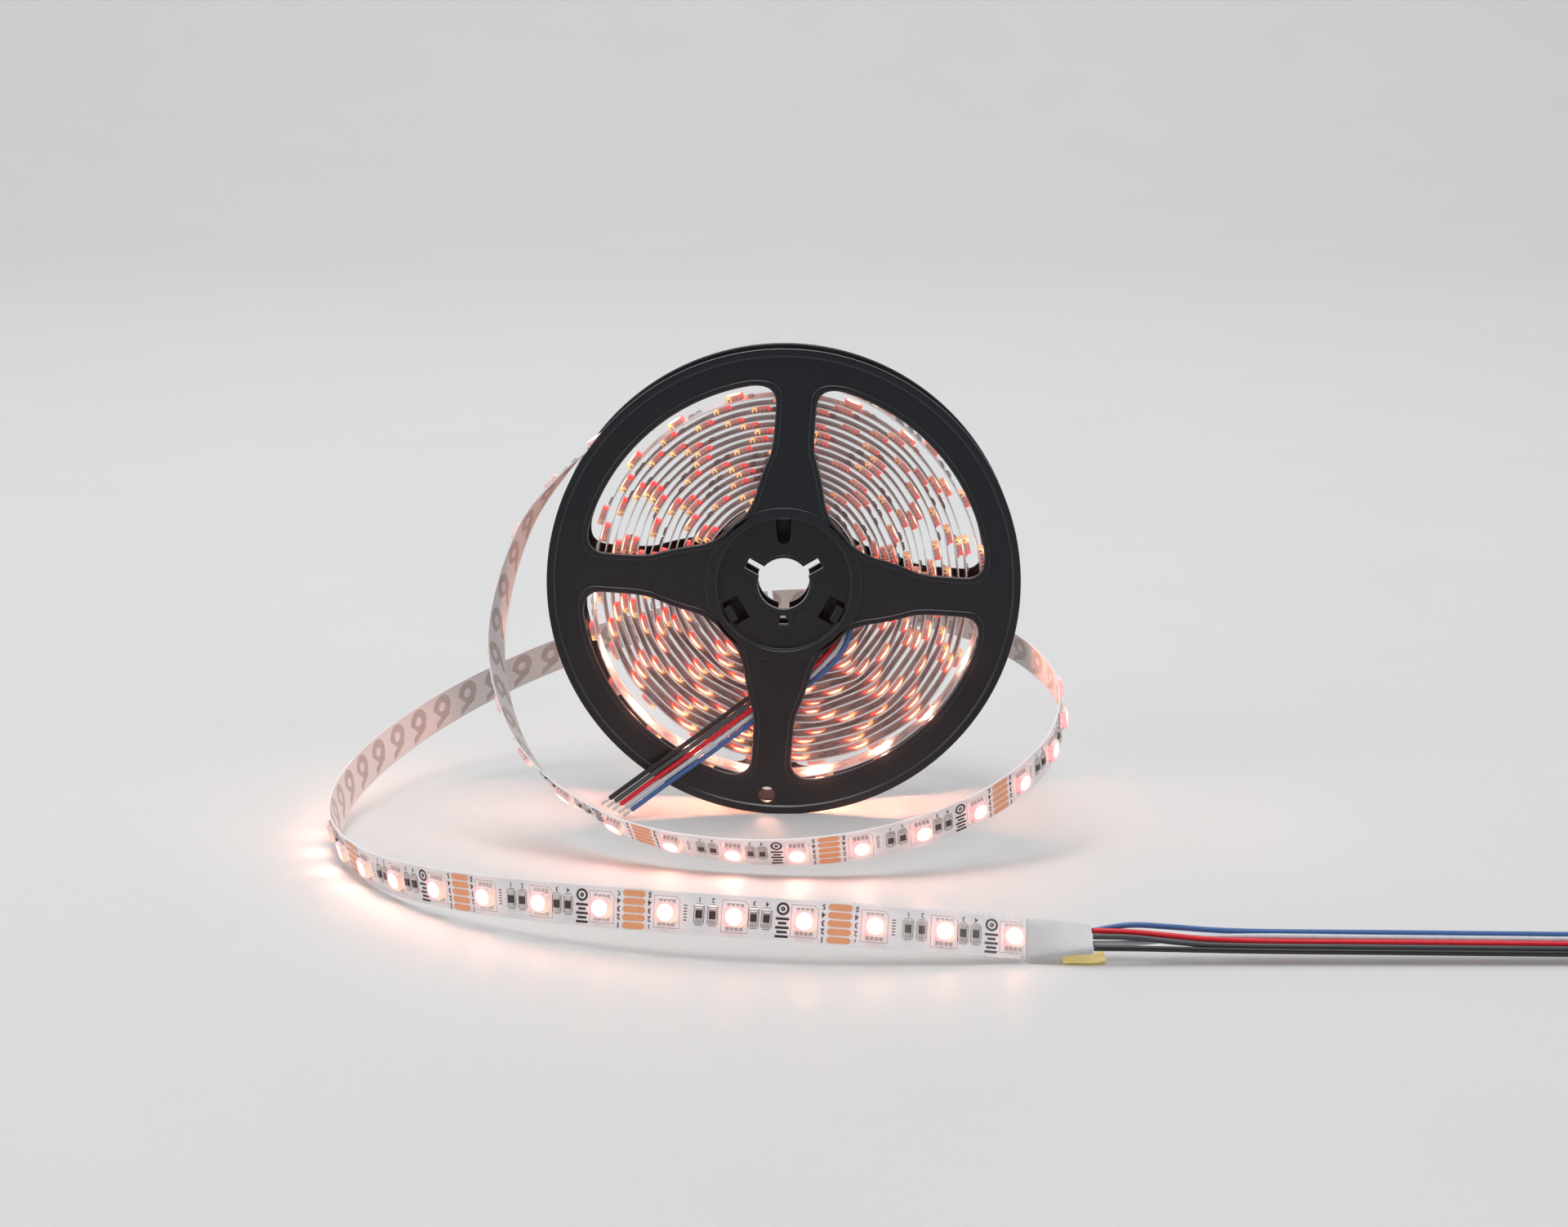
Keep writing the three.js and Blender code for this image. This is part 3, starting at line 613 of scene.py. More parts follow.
def common_parts(keyways, cuts):
    """What both halves have, with depth measured from the reel's middle plane."""
    hole_r, hole_at, hole_turn = RIM_HOLE
    hole = circle(hole_r, 32, turned_point(hole_at, 0, hole_turn))
    windows = [window_outline(0, q) for q in range(4)]
    flange = [circle(REEL_R - 0.35), circle(RECESS_R + 0.4), hole, *windows]
    parts = [flat_plate(flange, INNER_FACE, PLATE_TOP, 0.1)]
    for q in range(4):
        lip = [window_outline(LIP_W, q), windows[q]]
        parts.append(flat_plate(lip, INNER_FACE + 0.05, HALF_W, 0.55))
    foot = REEL_R - BEAD_W - 0.5
    bead = [(foot, PLATE_TOP - 0.3), (REEL_R, INNER_FACE), (REEL_R, HALF_W - 0.1), (REEL_R - 0.3, HALF_W),
            (REEL_R - BEAD_W, HALF_W), (foot, PLATE_TOP)]
    parts.append(spun(rounded(bead, 0.6, 4)))
    core = [(RECESS_R - 0.1, PLATE_LOW), (RECESS_R - 0.1, 0.15), (BARREL_R, 0.15), (BARREL_R, INNER_FACE),
            (WINDOW_INNER_R, INNER_FACE), (WINDOW_INNER_R, HALF_W), (RECESS_R + 0.1, HALF_W),
            (RECESS_R, RECESS_FLOOR), (RECESS_R - 0.6, RECESS_FLOOR), (RECESS_R - 0.6, PLATE_LOW)]
    parts.append(spun(rounded(core, 0.5, 4)))
    bore = bore_outline(0, keyways)
    parts.append(flat_plate([circle(RECESS_R - 0.3), bore, *cuts], PLATE_LOW, RECESS_FLOOR, 0.12))
    hub_lip = [bore_outline(HUB_LIP_W, keyways), bore]
    parts.append(flat_plate(hub_lip, PLATE_LOW + 0.05, RECESS_FLOOR + 0.6, 0.4))
    return parts


SLOT_HALF, SLOT_END = 1.85, 12.95
slot = [(RECESS_R - 0.5, -SLOT_HALF), (RECESS_R - 0.5, SLOT_HALF)]
slot += [(SLOT_END + x, y) for x, y in arc(SLOT_HALF, 90, 270, 12)]
slot = [turned_point(x, y, 90) for x, y in slot]
snap_cuts = [oblong(12.9, 17.9, 3.6, a) for a in SNAPS_AT]
small_cut = [turned_point(x, y, 270) for x, y in ((9.1, -0.9), (11.5, -1.3), (11.5, 1.3), (9.1, 0.5))]
front_parts = common_parts(FRONT_KEYWAYS, [slot, *snap_cuts, small_cut])
small_frame = [oblong(7.5, 12.7, 2.5, 270), oblong(8.6, 11.7, 1.5, 270)]
front_parts.append(flat_plate(small_frame, PLATE_LOW + 0.1, RECESS_FLOOR + 0.6, 0.2))
EJECTORS = ((14, 176), (12.5, 235), (12.1, 298), (12.8, 356), (14.2, 120), (16.3, 58))
for r, a in EJECTORS:
    at = turned_point(r, 0, a)
    mark = [circle(2.3, 28, at), circle(1.95, 28, at)]
    front_parts.append(flat_plate(mark, RECESS_FLOOR - 0.2, RECESS_FLOOR + 0.14, 0.08))
reel_front = joined("front_half", front_parts, FACE_TURN, plastic)

rear_parts = common_parts(REAR_KEYWAYS, [])
for a in SNAPS_AT:
    rear_parts.append(flat_plate([oblong(15.95, 17.25, 2.2, a)], -5.7, 4.2, 0.15))
    rear_parts.append(flat_plate([oblong(15.95, 18.1, 2.2, a)], -6.6, -5.3, 0.3))
MIRROR = Matrix.Scale(-1, 4, (0, 1, 0))
reel_rear = joined("rear_half", rear_parts, MIRROR @ FACE_TURN, plastic)
stand_for(reel_front, "reel_front")
stand_for(reel_rear, "reel_rear")

# %% [markdown]
# ## Where the strip runs
#
# The wound part is not a clean spiral. Every 16.7 mm a light stands 1.6 mm proud, so each turn
# lies on the lights of the turn below and spans from one to the next like a rope over pegs. That
# is worked out turn by turn: the turn below with its lights is an obstacle, and the new turn is
# the tight line over it. The free part follows the route of the solid model.

# %% Wind the turns
ROLL_START = 40
ROLL_R0 = BARREL_R + 1.05
TURNS = 15 + 140 / 360
ROLL_END_R = ROLL_R0 + 2.05 * TURNS
LEAD_BULGE = 3.1
LEAD_LEAVES_AT = -45
BULGE_HALF = 62
STRIP_Y = 0.9
BOARD_T = 0.34
LED_H = 1.6
LED_SIZE = 5.0
STEPS_A_TURN = 150
STEP = math.radians(360 / STEPS_A_TURN)
BEFORE = 20
LONGEST_SPAN = 16
FIRST_LIGHT = 9.0
LOOSE_TURN_R = REEL_R - 10.2
LOOSE_TURN_RISE = 1.5
LOOSE_TURN_ANGLE = 288
LOOSE_TURN_DIP = 2.3


def first_turn(degrees):
    """The first turn lies on the barrel and is pushed out where the lead leaves."""
    away = abs((degrees - LEAD_LEAVES_AT + 180) % 360 - 180)
    lobe = math.cos(math.radians(min(away, BULGE_HALF) / BULGE_HALF * 90)) ** 2
    started = min(1.0, (degrees - ROLL_START) / 360 * 1.4)
    return ROLL_R0 + LEAD_BULGE * lobe * started


def tight_line(obstacle):
    """The obstacle's radii with the dips bridged by straight spans."""
    line = obstacle.copy()
    for w in range(1, LONGEST_SPAN):
        before = np.concatenate([np.full(w, 0.01), obstacle[:-w]])
        after = np.concatenate([obstacle[w:], np.full(w, 0.01)])
        line = np.maximum(line, 2 * before * after * math.cos(STEP * w) / (before + after))
    return line


def wind(slack):
    """Radii at even angles, and the indices at which lights stand."""
    total = int(round(TURNS * STEPS_A_TURN))
    angle = ROLL_START + np.arange(total + 1) * 360 / STEPS_A_TURN
    radius = np.zeros(total + 1)
    radius[:STEPS_A_TURN] = [first_turn(a) for a in angle[:STEPS_A_TURN]]
    lights, run, following = [], 0.0, FIRST_LIGHT
    proud = np.zeros(total + 1)
    for start in range(0, total + 1, STEPS_A_TURN):
        stop = min(start + STEPS_A_TURN, total + 1)
        if start:
            below = radius[start - STEPS_A_TURN:start] + proud[start - STEPS_A_TURN:start]
            last = radius[start - BEFORE:start] - BOARD_T - slack
            reach = np.concatenate([last, below, below[:BEFORE] + 1.4])
            line = tight_line(reach)[BEFORE:][:STEPS_A_TURN]
            padded = np.concatenate([line[:1], line, line[-1:]])
            soft = np.convolve(padded, [0.25, 0.5, 0.25], "valid")
            wave = 0.06 * np.sin(np.arange(STEPS_A_TURN) * 0.9 + start * 0.37) + 0.06
            radius[start:stop] = (np.maximum(line, soft) + BOARD_T + slack + wave)[: stop - start]
        for i in range(start, stop):
            if run >= following:
                lights.append(i)
                following += LED_PITCH
            run += radius[i] * STEP
        for i in lights:
            if start <= i < stop:
                width = LED_SIZE / 2 / (radius[i] * STEP)
                proud[max(start, int(i - width)):min(stop, int(i + width) + 1)] = LED_H
    return angle, radius, lights, run


low, high = -0.6, 0.6
for _ in range(16):
    slack = (low + high) / 2
    angle, radius, lights, wound = wind(slack)
    if radius[-1] > ROLL_END_R:
        high = slack
    else:
        low = slack
print(f"slack {slack:.3f} mm, {len(lights)} lights on {wound / 1000:.2f} m in {TURNS:.1f} turns")

# %% Let the turns settle
def settled():
    """Kinks smoothed away. Turns lie rounder at the top and looser at the bottom."""
    reach, softness = 8, 1.9
    kernel = np.exp(-0.5 * (np.arange(-reach, reach + 1) / softness) ** 2)
    padded = np.concatenate([np.full(reach, radius[0]), radius, np.full(reach, radius[-1])])
    smooth = np.convolve(padded, kernel / kernel.sum(), "valid")
    turn = (angle - ROLL_START) / 360
    lobe = np.array([first_turn(a % 360 + (0 if a < 400 else 360)) - ROLL_R0 for a in angle])
    even = ROLL_R0 + (ROLL_END_R - ROLL_R0) * turn / TURNS + lobe * np.maximum(0, 1 - turn / 9)
    height = 0.5 + 0.5 * np.sin(np.radians(angle))
    return smooth + (even - smooth) * (0.85 * np.clip(height * 1.7 - 0.55, 0, 1))


radius = settled()
print(f"turns end at {radius[-1]:.2f} mm")

# %% Sections of the whole strip
def polar_sections(angles, radii):
    """Sections of a wound strip: middle point, way along, way of the upper edge, outward way."""
    a = np.radians(angles)
    points = np.stack([radii * np.cos(a), np.full(len(a), STRIP_Y), AXIS_Z + radii * np.sin(a)], axis=1)
    along = unit(np.gradient(points, axis=0))
    top = np.tile([0.0, -1.0, 0.0], (len(a), 1))
    return points, along, top, np.cross(along, top)


def loose_turn():
    """The last turn, which stands off the roll and dips into view over the upper right."""
    u = np.linspace(0, 1, 140)
    rise = 1 - (1 - np.minimum(1, u * 6)) ** 2
    end = radius[-1]
    radii = end + (LOOSE_TURN_R - end) * rise + LOOSE_TURN_RISE * u
    radii -= LOOSE_TURN_DIP * np.sin(np.pi * np.clip((u - 0.5) * 2, 0, 1)) ** 2
    return polar_sections(angle[-1] + u * LOOSE_TURN_ANGLE, radii)


STRIP_ROUTE = [
    [-20.8, 0.9, 118.5, 0, -1, 0],
    [-50.7, 0.7, 104.3, 0, -1, 0],
    [-62.9, -1.0, 93.0, -0.08, -0.97, 0.22],
    [-71.9, -5.9, 79.9, -0.2, -0.89, 0.4],
    [-78.3, -21.0, 50.7, -0.36, -0.81, 0.46],
    [-68.2, -40.5, 25.8, -0.29, -0.8, 0.52],
    [-43.9, -57.7, 11.5, -0.16, -0.73, 0.66],
    [-12.6, -67.7, 7.1, -0.08, -0.59, 0.81],
    [20.6, -68.6, 8.9, -0.06, -0.43, 0.9],
    [51.2, -57.9, 15.7, -0.08, -0.35, 0.93],
    [72.1, -34.7, 25.9, -0.11, -0.31, 0.95],
    [75.8, -3.6, 35.9, -0.13, -0.29, 0.95],
    [62.3, 25.7, 43.1, -0.13, -0.3, 0.95],
    [37.8, 47.7, 46.8, -0.12, -0.3, 0.95],
    [7.0, 60.0, 46.5, -0.14, -0.32, 0.94],
    [-25.9, 62.4, 42.5, -0.14, -0.32, 0.94],
    [-57.6, 55.5, 35.5, -0.15, -0.29, 0.95],
    [-85.7, 40.1, 26.6, -0.19, -0.22, 0.96],
    [-107.7, 16.8, 17.5, -0.25, -0.14, 0.96],
    [-120.1, -13.0, 10.2, -0.27, -0.12, 0.95],
    [-119.8, -45.8, 6.0, -0.26, -0.12, 0.96],
    [-106.9, -76.3, 5.2, -0.19, -0.09, 0.98],
    [-85.3, -101.6, 7.3, -0.1, -0.01, 1.0],
    [-57.9, -120.3, 9.7, -0.01, 0.1, 0.99],
    [-26.8, -132.1, 10.9, 0.05, 0.23, 0.97],
    [6.1, -137.2, 10.2, 0.07, 0.35, 0.93],
    [39.2, -136.6, 7.5, 0.05, 0.48, 0.88],
    [58.6, -134.6, 5.2, 0.04, 0.56, 0.83],
]
SPLICE_AT = (14, 446)
SPLICE_GAP = 0.3
LAST_LED_BEFORE_END = 3.0
FREE_SAMPLES = 4000
free_line, FREE_LENGTH = centripetal(STRIP_ROUTE, FREE_SAMPLES)
free_run = np.linspace(0, FREE_LENGTH, FREE_SAMPLES)


def free_sections(stations):
    """Sections of the free strip at the given distances from its start."""
    rows, ahead, behind = (read_at(stations + d, free_run, free_line) for d in (0, 0.4, -0.4))
    points, along, top = rows[:, :3], unit((ahead - behind)[:, :3]), rows[:, 3:]
    top = unit(top - along * np.sum(top * along, axis=1)[:, None])
    return points, along, top, np.cross(along, top)


FREE_LIGHTS = np.arange(FREE_LENGTH - LAST_LED_BEFORE_END, SPLICE_AT[0] + 3, -LED_PITCH)[::-1]
PADS_AT = FREE_LENGTH - LAST_LED_BEFORE_END - 2.5 * LED_PITCH
print(f"free strip {FREE_LENGTH:.0f} mm with {len(FREE_LIGHTS)} lights")

# %% [markdown]
# ## The white circuit board
#
# The strip is a 10 mm wide ribbon of white coated film with thin dark print. A ribbon is a thin
# closed band swept along the sections. Its UV map runs in millimetres along and across the strip,
# so the print can be drawn by arithmetic: one frame for each light, and ticks where each length of
# three lights may be cut. The back carries a pale backing paper with a print. A value on each face
# tells the front, the back and the cut edges apart.

# %% Finish of the board
def board_finish(name, pads_at, tone=(1.0, 1.0, 1.0), back_painted_light_tint=(1.0, 1.0, 1.0), glow=1.0):
    """White solder mask with printed frames on the front, and a printed backing paper behind.

    The tones dim both sides where the strip is wound: painted shade on the front, and painted shade with a
    painted pink light on the back. The glow scales the painted glow round each light.
    """
    finish = Finish(name, Emission_Strength=1.0)
    along, across, _ = finish.split(finish.uv())
    front = finish.add("ShaderNodeAttribute", {"attribute_name": "front"}, out=2)
    cell = (along - pads_at % LED_PITCH) % LED_PITCH - LED_PITCH / 2
    segment = (along - pads_at % SEGMENT + SEGMENT / 2) % SEGMENT - SEGMENT / 2
    edge = (abs(cell) - 3.2).more(abs(across) - 3.8).more((cell + across - 6.1) * 0.7)
    tick = (abs(segment) < 0.07) * (abs(across) > 4.1) * ((abs(across) > 4.75) < 0.5)
    ink = (abs(edge) < 0.065).more(tick)
    cloud = finish.noise(0.05, 3.0)
    coat = finish.mix(cloud, (0.86, 0.87, 0.90), (0.91, 0.92, 0.94))
    traces = (abs(abs(across) - 4.1) < 0.45).more(abs(abs(across) - 2.0) < 0.3)
    coat = finish.mix(traces * 0.10, coat, (0.66, 0.63, 0.61))
    printed = finish.mix(ink * 0.8, coat, (0.12, 0.085, 0.09))
    step = (along + across * 0.25) % PRINT_PITCH - PRINT_PITCH / 2
    high = (step * step + (across - 1.0).power(2.0)).power(0.5)
    hook = (abs(high - 2.3) < 1.05) * ((step - across) < 2.4)
    low = (abs(across + 2.3 + step * 0.5) < 0.95) * (abs(step) < 2.7)
    faded = finish.noise(0.4, 3.0) * 0.3 + 0.4
    backing = finish.mix(hook.more(low) * faded, (0.84, 0.79, 0.78), (0.33, 0.24, 0.20))
    # 1 deep in the roll and 0 near where the strip leaves it: where the painted shade and pink tint of the
    # wound strip apply.
    wound = (along * -0.04 - 13.4).more(0.0).less(1.0)
    painted_wound_tones = finish.mix(front, back_painted_light_tint, tone)
    colour = finish.mix(wound, finish.mix(front, backing, printed), painted_wound_tones, "MULTIPLY")
    # The cut edges keep a pale colour that the wound tones don't darken, and they get a small painted glow
    # of their own.
    cut_edge = abs(front - 0.5) < 0.25
    finish.set(Base_Color=finish.mix(cut_edge, colour, (0.80, 0.79, 0.80)))
    # A painted glow round each light, weaker on the ink, that stands in for the light of the lights falling
    # on the board. It is dim where the strip is wound.
    near = finish.fade((cell * cell + across * across) * 0.05) * (ink * -0.6 + 1.0)
    painted_glow = finish.mix(near, toned((0.05, 0.028, 0.026), glow), toned((0.34, 0.17, 0.15), glow))
    painted_glow = finish.mix(wound, painted_glow, (0.03, 0.012, 0.010))
    painted_glow = finish.mix(cut_edge, finish.mix(front, (0.0, 0.0, 0.0), painted_glow), (0.14, 0.118, 0.118))
    finish.set(Emission_Color=painted_glow, Roughness=cloud * 0.2 + 0.32)
    finish.bump(traces * 0.6 + finish.noise(2.0, 2.0), 0.15, 0.04)
    return finish


SEGMENT = 3 * LED_PITCH
PRINT_PITCH = 9.8
BOARD_STEP = 1.5
INNER_PADS_AT = PADS_AT + LED_PITCH
board = board_finish("white_board", PADS_AT)
inner_finish = board_finish("white_board_inner", INNER_PADS_AT, glow=1.5)
# The wound strip's tones: its front darkened as painted shade inside the reel, and its back tinted pink as
# painted light from the lights of the turn inside.
wound_finish = board_finish("white_board_wound", INNER_PADS_AT, (0.42, 0.37, 0.38), (1.0, 0.80, 0.76))


def ribbon(name, sections, stations, finish, node):
    """The strip's board as a closed band. Its UVs are millimetres along and across."""
    points, _, top, out = sections
    half, t = STRIP_W / 2, BOARD_T / 2
    corners = ((-half, -t), (-half, t), (half, t), (half, -t))
    rings = np.stack([points + top * a + out * b for a, b in corners], axis=1)
    thing = mesh_from_rings(name, rings, stations, [a for a, _ in corners], finish)
    mesh = thing.data
    values = np.zeros(len(mesh.polygons), np.float32)
    values[0:len(values) - 2:2] = 0.5
    values[1:len(values) - 2:4] = 1.0
    mesh.attributes.new("front", "FLOAT", "FACE").data.foreach_set("value", values)
    mesh.set_sharp_from_angle(angle=math.radians(CREASE))
    stand_for(thing, node)


def joined_sections(*parts):
    return tuple(np.concatenate([part[i] for part in parts]) for i in range(4))


wound_sections = polar_sections(angle, radius)
loose_sections = loose_turn()
roll_sections = joined_sections(wound_sections, tuple(x[1:] for x in loose_sections))
roll_run = run_along(roll_sections[0])
roll_run += SPLICE_AT[0] - SPLICE_GAP - roll_run[-1]
ribbon("roll_board", roll_sections, roll_run, wound_finish, "strip_roll")
stations = np.arange(SPLICE_AT[0], SPLICE_AT[1] - SPLICE_GAP, BOARD_STEP)
ribbon("inner_loop_board", free_sections(stations), stations, inner_finish, "strip_loop_inner")
stations = np.arange(SPLICE_AT[1], FREE_LENGTH, BOARD_STEP)
ribbon("outer_loop_board", free_sections(stations), stations, board, "strip_loop_outer")

# %% [markdown]
# ## Parts that sit along the strip
#
# Lights, resistors and pads repeat all along the strip, so one Geometry Nodes tree places any of
# them: it reads points that carry a turn, puts a copy of the part on each, and gives the copies
# real geometry and a finish.

# %% A tree that repeats a part
def repeat_tree():
    tree = bpy.data.node_groups.new("repeat_on_strip", "GeometryNodeTree")
    sockets = (("Geometry", "INPUT", "Geometry"), ("Part", "INPUT", "Object"), ("Scale", "INPUT", "Float"),
               ("Finish", "INPUT", "Material"), ("Geometry", "OUTPUT", "Geometry"))
    for name, way, kind in sockets:
        tree.interface.new_socket(name, in_out=way, socket_type="NodeSocket" + kind)
    add = tree.nodes.new
    given, result = add("NodeGroupInput"), add("NodeGroupOutput")
    info, copies = add("GeometryNodeObjectInfo"), add("GeometryNodeInstanceOnPoints")
    turn = add("GeometryNodeInputNamedAttribute")
    turn.data_type = "QUATERNION"
    turn.inputs["Name"].default_value = "turn"
    real, paint = add("GeometryNodeRealizeInstances"), add("GeometryNodeSetMaterial")
    links = ((given, "Geometry", copies, "Points"), (given, "Part", info, "Object"),
             (info, "Geometry", copies, "Instance"), (turn, "Attribute", copies, "Rotation"),
             (given, "Scale", copies, "Scale"), (copies, "Instances", real, "Geometry"),
             (real, "Geometry", paint, "Geometry"), (given, "Finish", paint, "Material"),
             (paint, "Geometry", result, "Geometry"))
    for source, output, target, socket in links:
        tree.links.new(source.outputs[output], target.inputs[socket])
    return tree


REPEAT = repeat_tree()


def repeated(name, part, sections, finish):
    """Copies of a part on sections of the strip, as one mesh that rides with the object."""
    points, *axes = sections
    cloud = bpy.data.meshes.new(name)
    cloud.from_pydata(((points + np.array(ORIGIN_SHIFT)) * MM).tolist(), [], [])
    turns = cloud.attributes.new("turn", "QUATERNION", "POINT")
    for item, rows in zip(turns.data, zip(*axes)):
        item.value = Matrix(rows).transposed().to_quaternion()
    thing = add_object(name, cloud)
    modifier = thing.modifiers.new("repeat", "NODES")
    modifier.node_group = REPEAT
    wanted = {"Part": part, "Scale": MM, "Finish": finish.material}
    for item in REPEAT.interface.items_tree:
        if item.in_out == "INPUT" and item.name in wanted:
            modifier[item.identifier] = wanted[item.name]
    apply_modifiers(thing)
    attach(thing, "root")
    print(thing.name, len(thing.data.polygons), "faces")


def part_mesh(name, points, faces):
    """A part in its own frame: x along the strip, y across it, z away from the board, in mm."""
    mesh = bpy.data.meshes.new(name)
    mesh.from_pydata(points, [], faces)
    layer = mesh.uv_layers.new(name="UVMap")
    for loop in mesh.loops:
        layer.data[loop.index].uv = mesh.vertices[loop.vertex_index].co[:2]
    return bpy.data.objects.new(name, mesh)


def block(half_x, half_y, low, high, cut=0.0):
    """A box with an optional bevel round its top, as points and faces."""
    levels = [(0, low), (0, high - cut), (cut, high)] if cut else [(0, low), (0, high)]
    corners = ((-1, -1), (1, -1), (1, 1), (-1, 1))
    return skin([[(a * (half_x - inset), b * (half_y - inset), z) for a, b in corners]
                 for inset, z in levels])


def several(blocks):
    points, faces = [], []
    for more_points, more_faces in blocks:
        base = len(points)
        points += more_points
        faces += [tuple(base + i for i in f) for f in more_faces]
    return points, faces


def moved(shape, dx, dy):
    points, faces = shape
    return [(x + dx, y + dy, z) for x, y, z in points], faces


print("tree inputs:", [i.name for i in REPEAT.interface.items_tree if i.in_out == "INPUT"])

# %% The light, in three parts
BOARD_TOP = BOARD_T / 2
LENS_R = 2.05
PIN_ROW = (-1.65, -0.55, 0.55, 1.65)


def led_body():
    """The square body: its top is a ring round the lens, which lies a little sunk."""
    half, top, sunk, sides = LED_SIZE / 2, BOARD_TOP + LED_H, 0.12, 16
    disc = [turned_point(1, 0, 360 * (k + 0.5) / sides) for k in range(sides)]
    square = [(x / max(abs(x), abs(y)), y / max(abs(x), abs(y))) for x, y in disc]
    levels = [(square, half, BOARD_TOP), (square, half, top - 0.15), (square, half - 0.1, top),
              (disc, LENS_R + 0.08, top), (disc, LENS_R, top - sunk)]
    rings = [[(x * r, y * r, z) for x, y in outline] for outline, r, z in levels]
    return part_mesh("led_body", *skin(rings))


def led_lens():
    """A low dome in the sunk ring."""
    sides, low = 20, BOARD_TOP + LED_H - 0.1
    outline = circle(LENS_R - 0.02, sides)
    rings = [[(x * r, y * r, low + rise) for x, y in outline] for r, rise in ((1, 0), (0.6, 0.06))]
    points, faces = skin(rings)
    faces.pop()  # the upper cap, which gives way to a cone
    faces += [(sides + k, sides + (k + 1) % sides, 2 * sides) for k in range(sides)]
    return part_mesh("led_lens", points + [(0, 0, low + 0.08)], faces)


def led_pins():
    """Four feet on each of two sides, each in a drop of solder."""
    shapes = []
    for side in (-1, 1):
        for x in PIN_ROW:
            shapes.append(moved(block(0.4, 0.5, BOARD_TOP, BOARD_TOP + 0.22, 0.13), x, side * 2.85))
            shapes.append(moved(block(0.27, 0.08, BOARD_TOP, BOARD_TOP + 0.8), x, side * 2.56))
    return part_mesh("led_pins", *several(shapes))


def resistor_parts():
    """The dark middle, and the metal caps with the solder that holds them."""
    body = part_mesh("resistor_body", *block(0.78, 1.0, BOARD_TOP, BOARD_TOP + 0.52, 0.08))
    cap = block(0.82, 0.36, BOARD_TOP, BOARD_TOP + 0.57, 0.12)
    solder = block(1.06, 0.62, BOARD_TOP, BOARD_TOP + 0.34, 0.3)
    places = ((cap, -1.3), (cap, 1.3), (solder, -1.72), (solder, 1.72))
    return body, part_mesh("resistor_ends", *several([moved(shape, 0, y) for shape, y in places]))


def pill(half_x, half_y, low, high):
    """A pad with rounded ends."""
    outline = [(half_x - half_y + x, y) for x, y in arc(half_y, -90, 90, 6)]
    outline += [(-x, y) for x, y in reversed(outline)]
    return skin([[(x, y, z) for x, y in outline] for z in (low, high)])


print("a light is", LED_SIZE, "mm square")

# %% Finishes of the small parts
LENS_STRENGTH = 310.0
LOOSE_STRENGTH = 1150.0
WOUND_STRENGTH = 13.0


def side_glow(finish):
    """How red and how yellow a light looks at each point of its body, from its own chips."""
    x, y, _ = finish.split(finish.uv())
    across = y / LED_SIZE * 2
    along = x / LED_SIZE * 2
    red = (along * -1.5 - 0.55).more(0.0).less(1.0)
    yellow = (along * 1.1 - across * 0.5 - 0.35).more(0.0).less(1.0)
    return x, y, red, yellow


def lens_finish(name, strength, soft, rosy):
    """A hot chip in the middle of a pale disc, rosy towards the red chip's side."""
    finish = Finish(name, Roughness=0.25, Base_Color=(0.8, 0.75, 0.7), Emission_Strength=strength)
    x, y, red, _ = side_glow(finish)
    off = ((x - 0.15) * (x - 0.15) + (y + 0.1) * (y + 0.1)) / 0.34
    disc = finish.mix(red * 0.85, toned(soft, 1 / strength), toned(rosy, 1 / strength))
    finish.set(Emission_Color=finish.mix(finish.fade(off), disc, (1.0, 0.42, 0.29)))
    return finish


lens = lens_finish("lit_lens", LENS_STRENGTH, (1.15, 0.95, 0.90), (1.2, 0.62, 0.58))
loose_lens = lens_finish("loose_lens", LOOSE_STRENGTH, (1.3, 0.75, 0.42), (1.3, 0.10, 0.07))

body = Finish("lit_body", Roughness=0.3, Emission_Strength=1.0)
x, y, red, yellow = side_glow(body)
from_middle = (x * x + y * y).power(0.5)
edge = abs(from_middle - 2.2) < 0.11
warm = body.mix(yellow, (0.20, 0.07, 0.07), (0.55, 0.34, 0.16))
tinted = body.mix(red, warm, (0.90, 0.09, 0.09))
halo = body.fade((from_middle - 2.05).more(0.0) * 2.6)
body.set(Base_Color=body.mix(edge, (0.70, 0.62, 0.63), (0.48, 0.30, 0.30)))
body.set(Emission_Color=body.mix(halo, tinted, (0.85, 0.48, 0.43)))

PALE = (0.8, 0.7, 0.6)
wound_lens = Finish("wound_lens", Roughness=0.3, Base_Color=PALE, Emission_Strength=WOUND_STRENGTH)
_, _, red, yellow = side_glow(wound_lens)
amber = wound_lens.mix(yellow, (1.0, 0.30, 0.17), (1.0, 0.58, 0.20))
wound_lens.set(Emission_Color=wound_lens.mix(red, amber, (1.0, 0.05, 0.03)))

# The wound lights' bodies are darker and pinker than the free ones: painted shade of the reel with painted
# pink light.
SHADED_PINK_BODY = (0.60, 0.40, 0.38)
wound_body = Finish("wound_body", Roughness=0.3, Base_Color=SHADED_PINK_BODY, Emission_Strength=1.0)
x, _, red, _ = side_glow(wound_body)
uneven = (wound_body.noise(0.045, 2.0) * 4.0 - 1.5).more(0.0).less(1.0)
hot = wound_body.fade(((x - 1.7) * (x - 1.7)) / 0.55) * uneven
tinted = wound_body.mix(red * (uneven * 0.6 + 0.4), (0.34, 0.085, 0.07), (1.3, 0.03, 0.02))
wound_body.set(Emission_Color=wound_body.mix(hot, tinted, (1.6, 0.85, 0.28)))

GREY, BRIGHT = (0.60, 0.53, 0.51), (0.84, 0.79, 0.77)
silver, _ = mottled("tinned_feet", GREY, BRIGHT, 1.5, 0.2, 2.0, Metallic=0.45)
BROWN, ORANGE = (0.72, 0.31, 0.15), (0.90, 0.44, 0.24)
